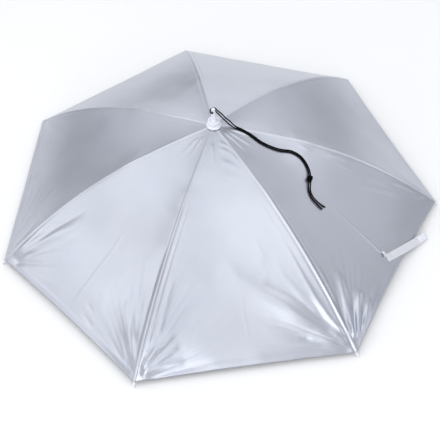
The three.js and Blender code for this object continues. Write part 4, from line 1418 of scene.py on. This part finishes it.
def tab_piece():
    """Half an ellipse of tape from foot to foot, carried along the tab's length and stood on the
    cloth's slope. Solidify gives it the tape's thickness."""
    middle = STRAP_ROOT - STRAP_WAY * (TAB_LENGTH / 2 + LAY)
    x, y = middle + STRAP_SIDE * (STRAP_WIDTH / 2 * ASIDE_UNIT + 2 * MM)
    reach = TAB_LENGTH / 2
    up = unit(np.array([height_at(x - reach, y) - height_at(x + reach, y),
                        height_at(x, y - reach) - height_at(x, y + reach), 2 * reach]))
    length_way = np.array([np.cos(TAB_TURN), np.sin(TAB_TURN), 0])
    length_way = unit(length_way - up * (length_way @ up))
    side = np.cross(length_way, up)
    arch, along = np.meshgrid(np.linspace(0, np.pi, 25), np.linspace(-0.5, 0.5, 15), indexing="ij")
    full = 1 + 0.03 * np.cos(np.pi * along)
    foot = np.array([x, y, height_at(x, y)]) + AXIS + LAY * up
    points = foot + ((TAB_SPAN - TAB_WALL / 2) * full * np.cos(arch))[..., None] * side \
        + ((TAB_RISE - TAB_WALL / 2) * full * np.sin(arch))[..., None] * up \
        + (along * TAB_LENGTH)[..., None] * length_way
    uv = grid_uv(np.linspace(0, np.pi * TAB_SPAN, 25), np.linspace(0, TAB_LENGTH, 15))
    piece = mesh_piece("folded_tab", points, grid_faces(25, 15, ring=False).tolist(), uv)
    wall = piece.modifiers.new("tape thickness", "SOLIDIFY")
    wall.thickness = TAB_WALL
    wall.offset = 0
    round_off = piece.modifiers.new("soft edges", "BEVEL")
    round_off.width = 0.3 * MM
    round_off.segments = 2
    return piece


dress(tab_piece(), [WEBBING], ["strap_tab"])

# %% [markdown]
# ## Floor and light
# The hat stands on its tips on a plain pale floor. Broad soft lights stand all round it, strongest
# above and at the front, and pale surroundings fill the rest. Each light is a row: name, place,
# width and power. Most powers were solved from renders with one light each, and the others set
# one by one.

# %% Stage
def floor_finish():
    """Nearly white paint with broad faint marks."""
    finish = Finish("pale_floor", Roughness=0.6)
    marks = finish.effect(MARKS, Scale=1.5)
    finish.colours(marks["Broad"], (0.95, 0.955, 0.96), (0.975, 0.98, 0.985), 0.2, 0.9)
    return finish.material


def area_light(name, place, target, size, power):
    """A square soft light at a place, facing its target."""
    light = bpy.data.objects.new(name, bpy.data.lights.new(name, "AREA"))
    light.data.size = size
    light.data.energy = power
    back = unit(np.array(place) - np.array(target))
    right = unit(np.cross(UP, back))
    matrix = np.eye(4)
    matrix[:3, :] = np.stack([right, np.cross(back, right), back, np.array(place)], axis=1)
    light.matrix_world = Matrix(matrix.tolist())
    bpy.context.collection.objects.link(light)


FLOOR_SIZE = 12.0
corner = np.array([[-1, -1, 0], [1, -1, 0], [1, 1, 0], [-1, 1, 0]]) * FLOOR_SIZE / 2
floor = mesh_piece("floor", corner - [0, 0, 0.2 * MM], [[0, 1, 2, 3]])
floor.data.materials.append(floor_finish())
LIGHTS = [
    ("over_left", (-0.8, 0.0, 2.4), 2.2, 10.9), ("over_right", (0.9, -0.1, 2.3), 1.6, 6.3),
    ("front_high", (-0.1, -1.6, 2.2), 1.6, 7.2), ("left_high", (-2.1, -0.2, 2.0), 1.8, 2.2),
    ("left", (-2.5, -0.9, 1.3), 1.8, 8.4), ("back_low", (0.2, 3.2, 0.9), 2.2, 10.2),
    ("front_low", (-0.4, -3.0, 1.0), 1.5, 17.5), ("right", (2.6, 0.2, 1.6), 1.6, 1.0),
    ("right_back", (1.7, 1.9, 1.2), 1.9, 2.7), ("left_back", (-1.6, 1.5, 1.9), 2.1, 3.8),
    ("right_front", (2.4, -1.3, 1.2), 0.9, 4.0),
]
for name, place, size, power in LIGHTS:
    area_light(name, place, (0, 0, 0.1), size, power)


def surroundings():
    """Strength runs from dim at the horizon to full at a height of 0.35 in the unit direction."""
    world = bpy.data.worlds.new("surroundings")
    world.use_nodes = True
    tree = world.node_tree
    places = tree.nodes.new("ShaderNodeTexCoord")
    apart = tree.nodes.new("ShaderNodeSeparateXYZ")
    rise = tree.nodes.new("ShaderNodeMapRange")
    rise.interpolation_type = "SMOOTHSTEP"
    for label, value in {"From Min": 0.0, "From Max": 0.35, "To Min": 0.29, "To Max": 0.64}.items():
        rise.inputs[label].default_value = value
    tree.links.new(places.outputs["Generated"], apart.inputs[0])
    tree.links.new(apart.outputs[2], rise.inputs["Value"])
    tree.links.new(rise.outputs[0], tree.nodes["Background"].inputs["Strength"])
    tree.nodes["Background"].inputs["Color"].default_value = (0.93, 0.95, 1.0, 1)
    return world


bpy.context.scene.world = surroundings()
print("lights:", len(LIGHTS))
bpy.context.scene.view_settings.view_transform = "Standard"
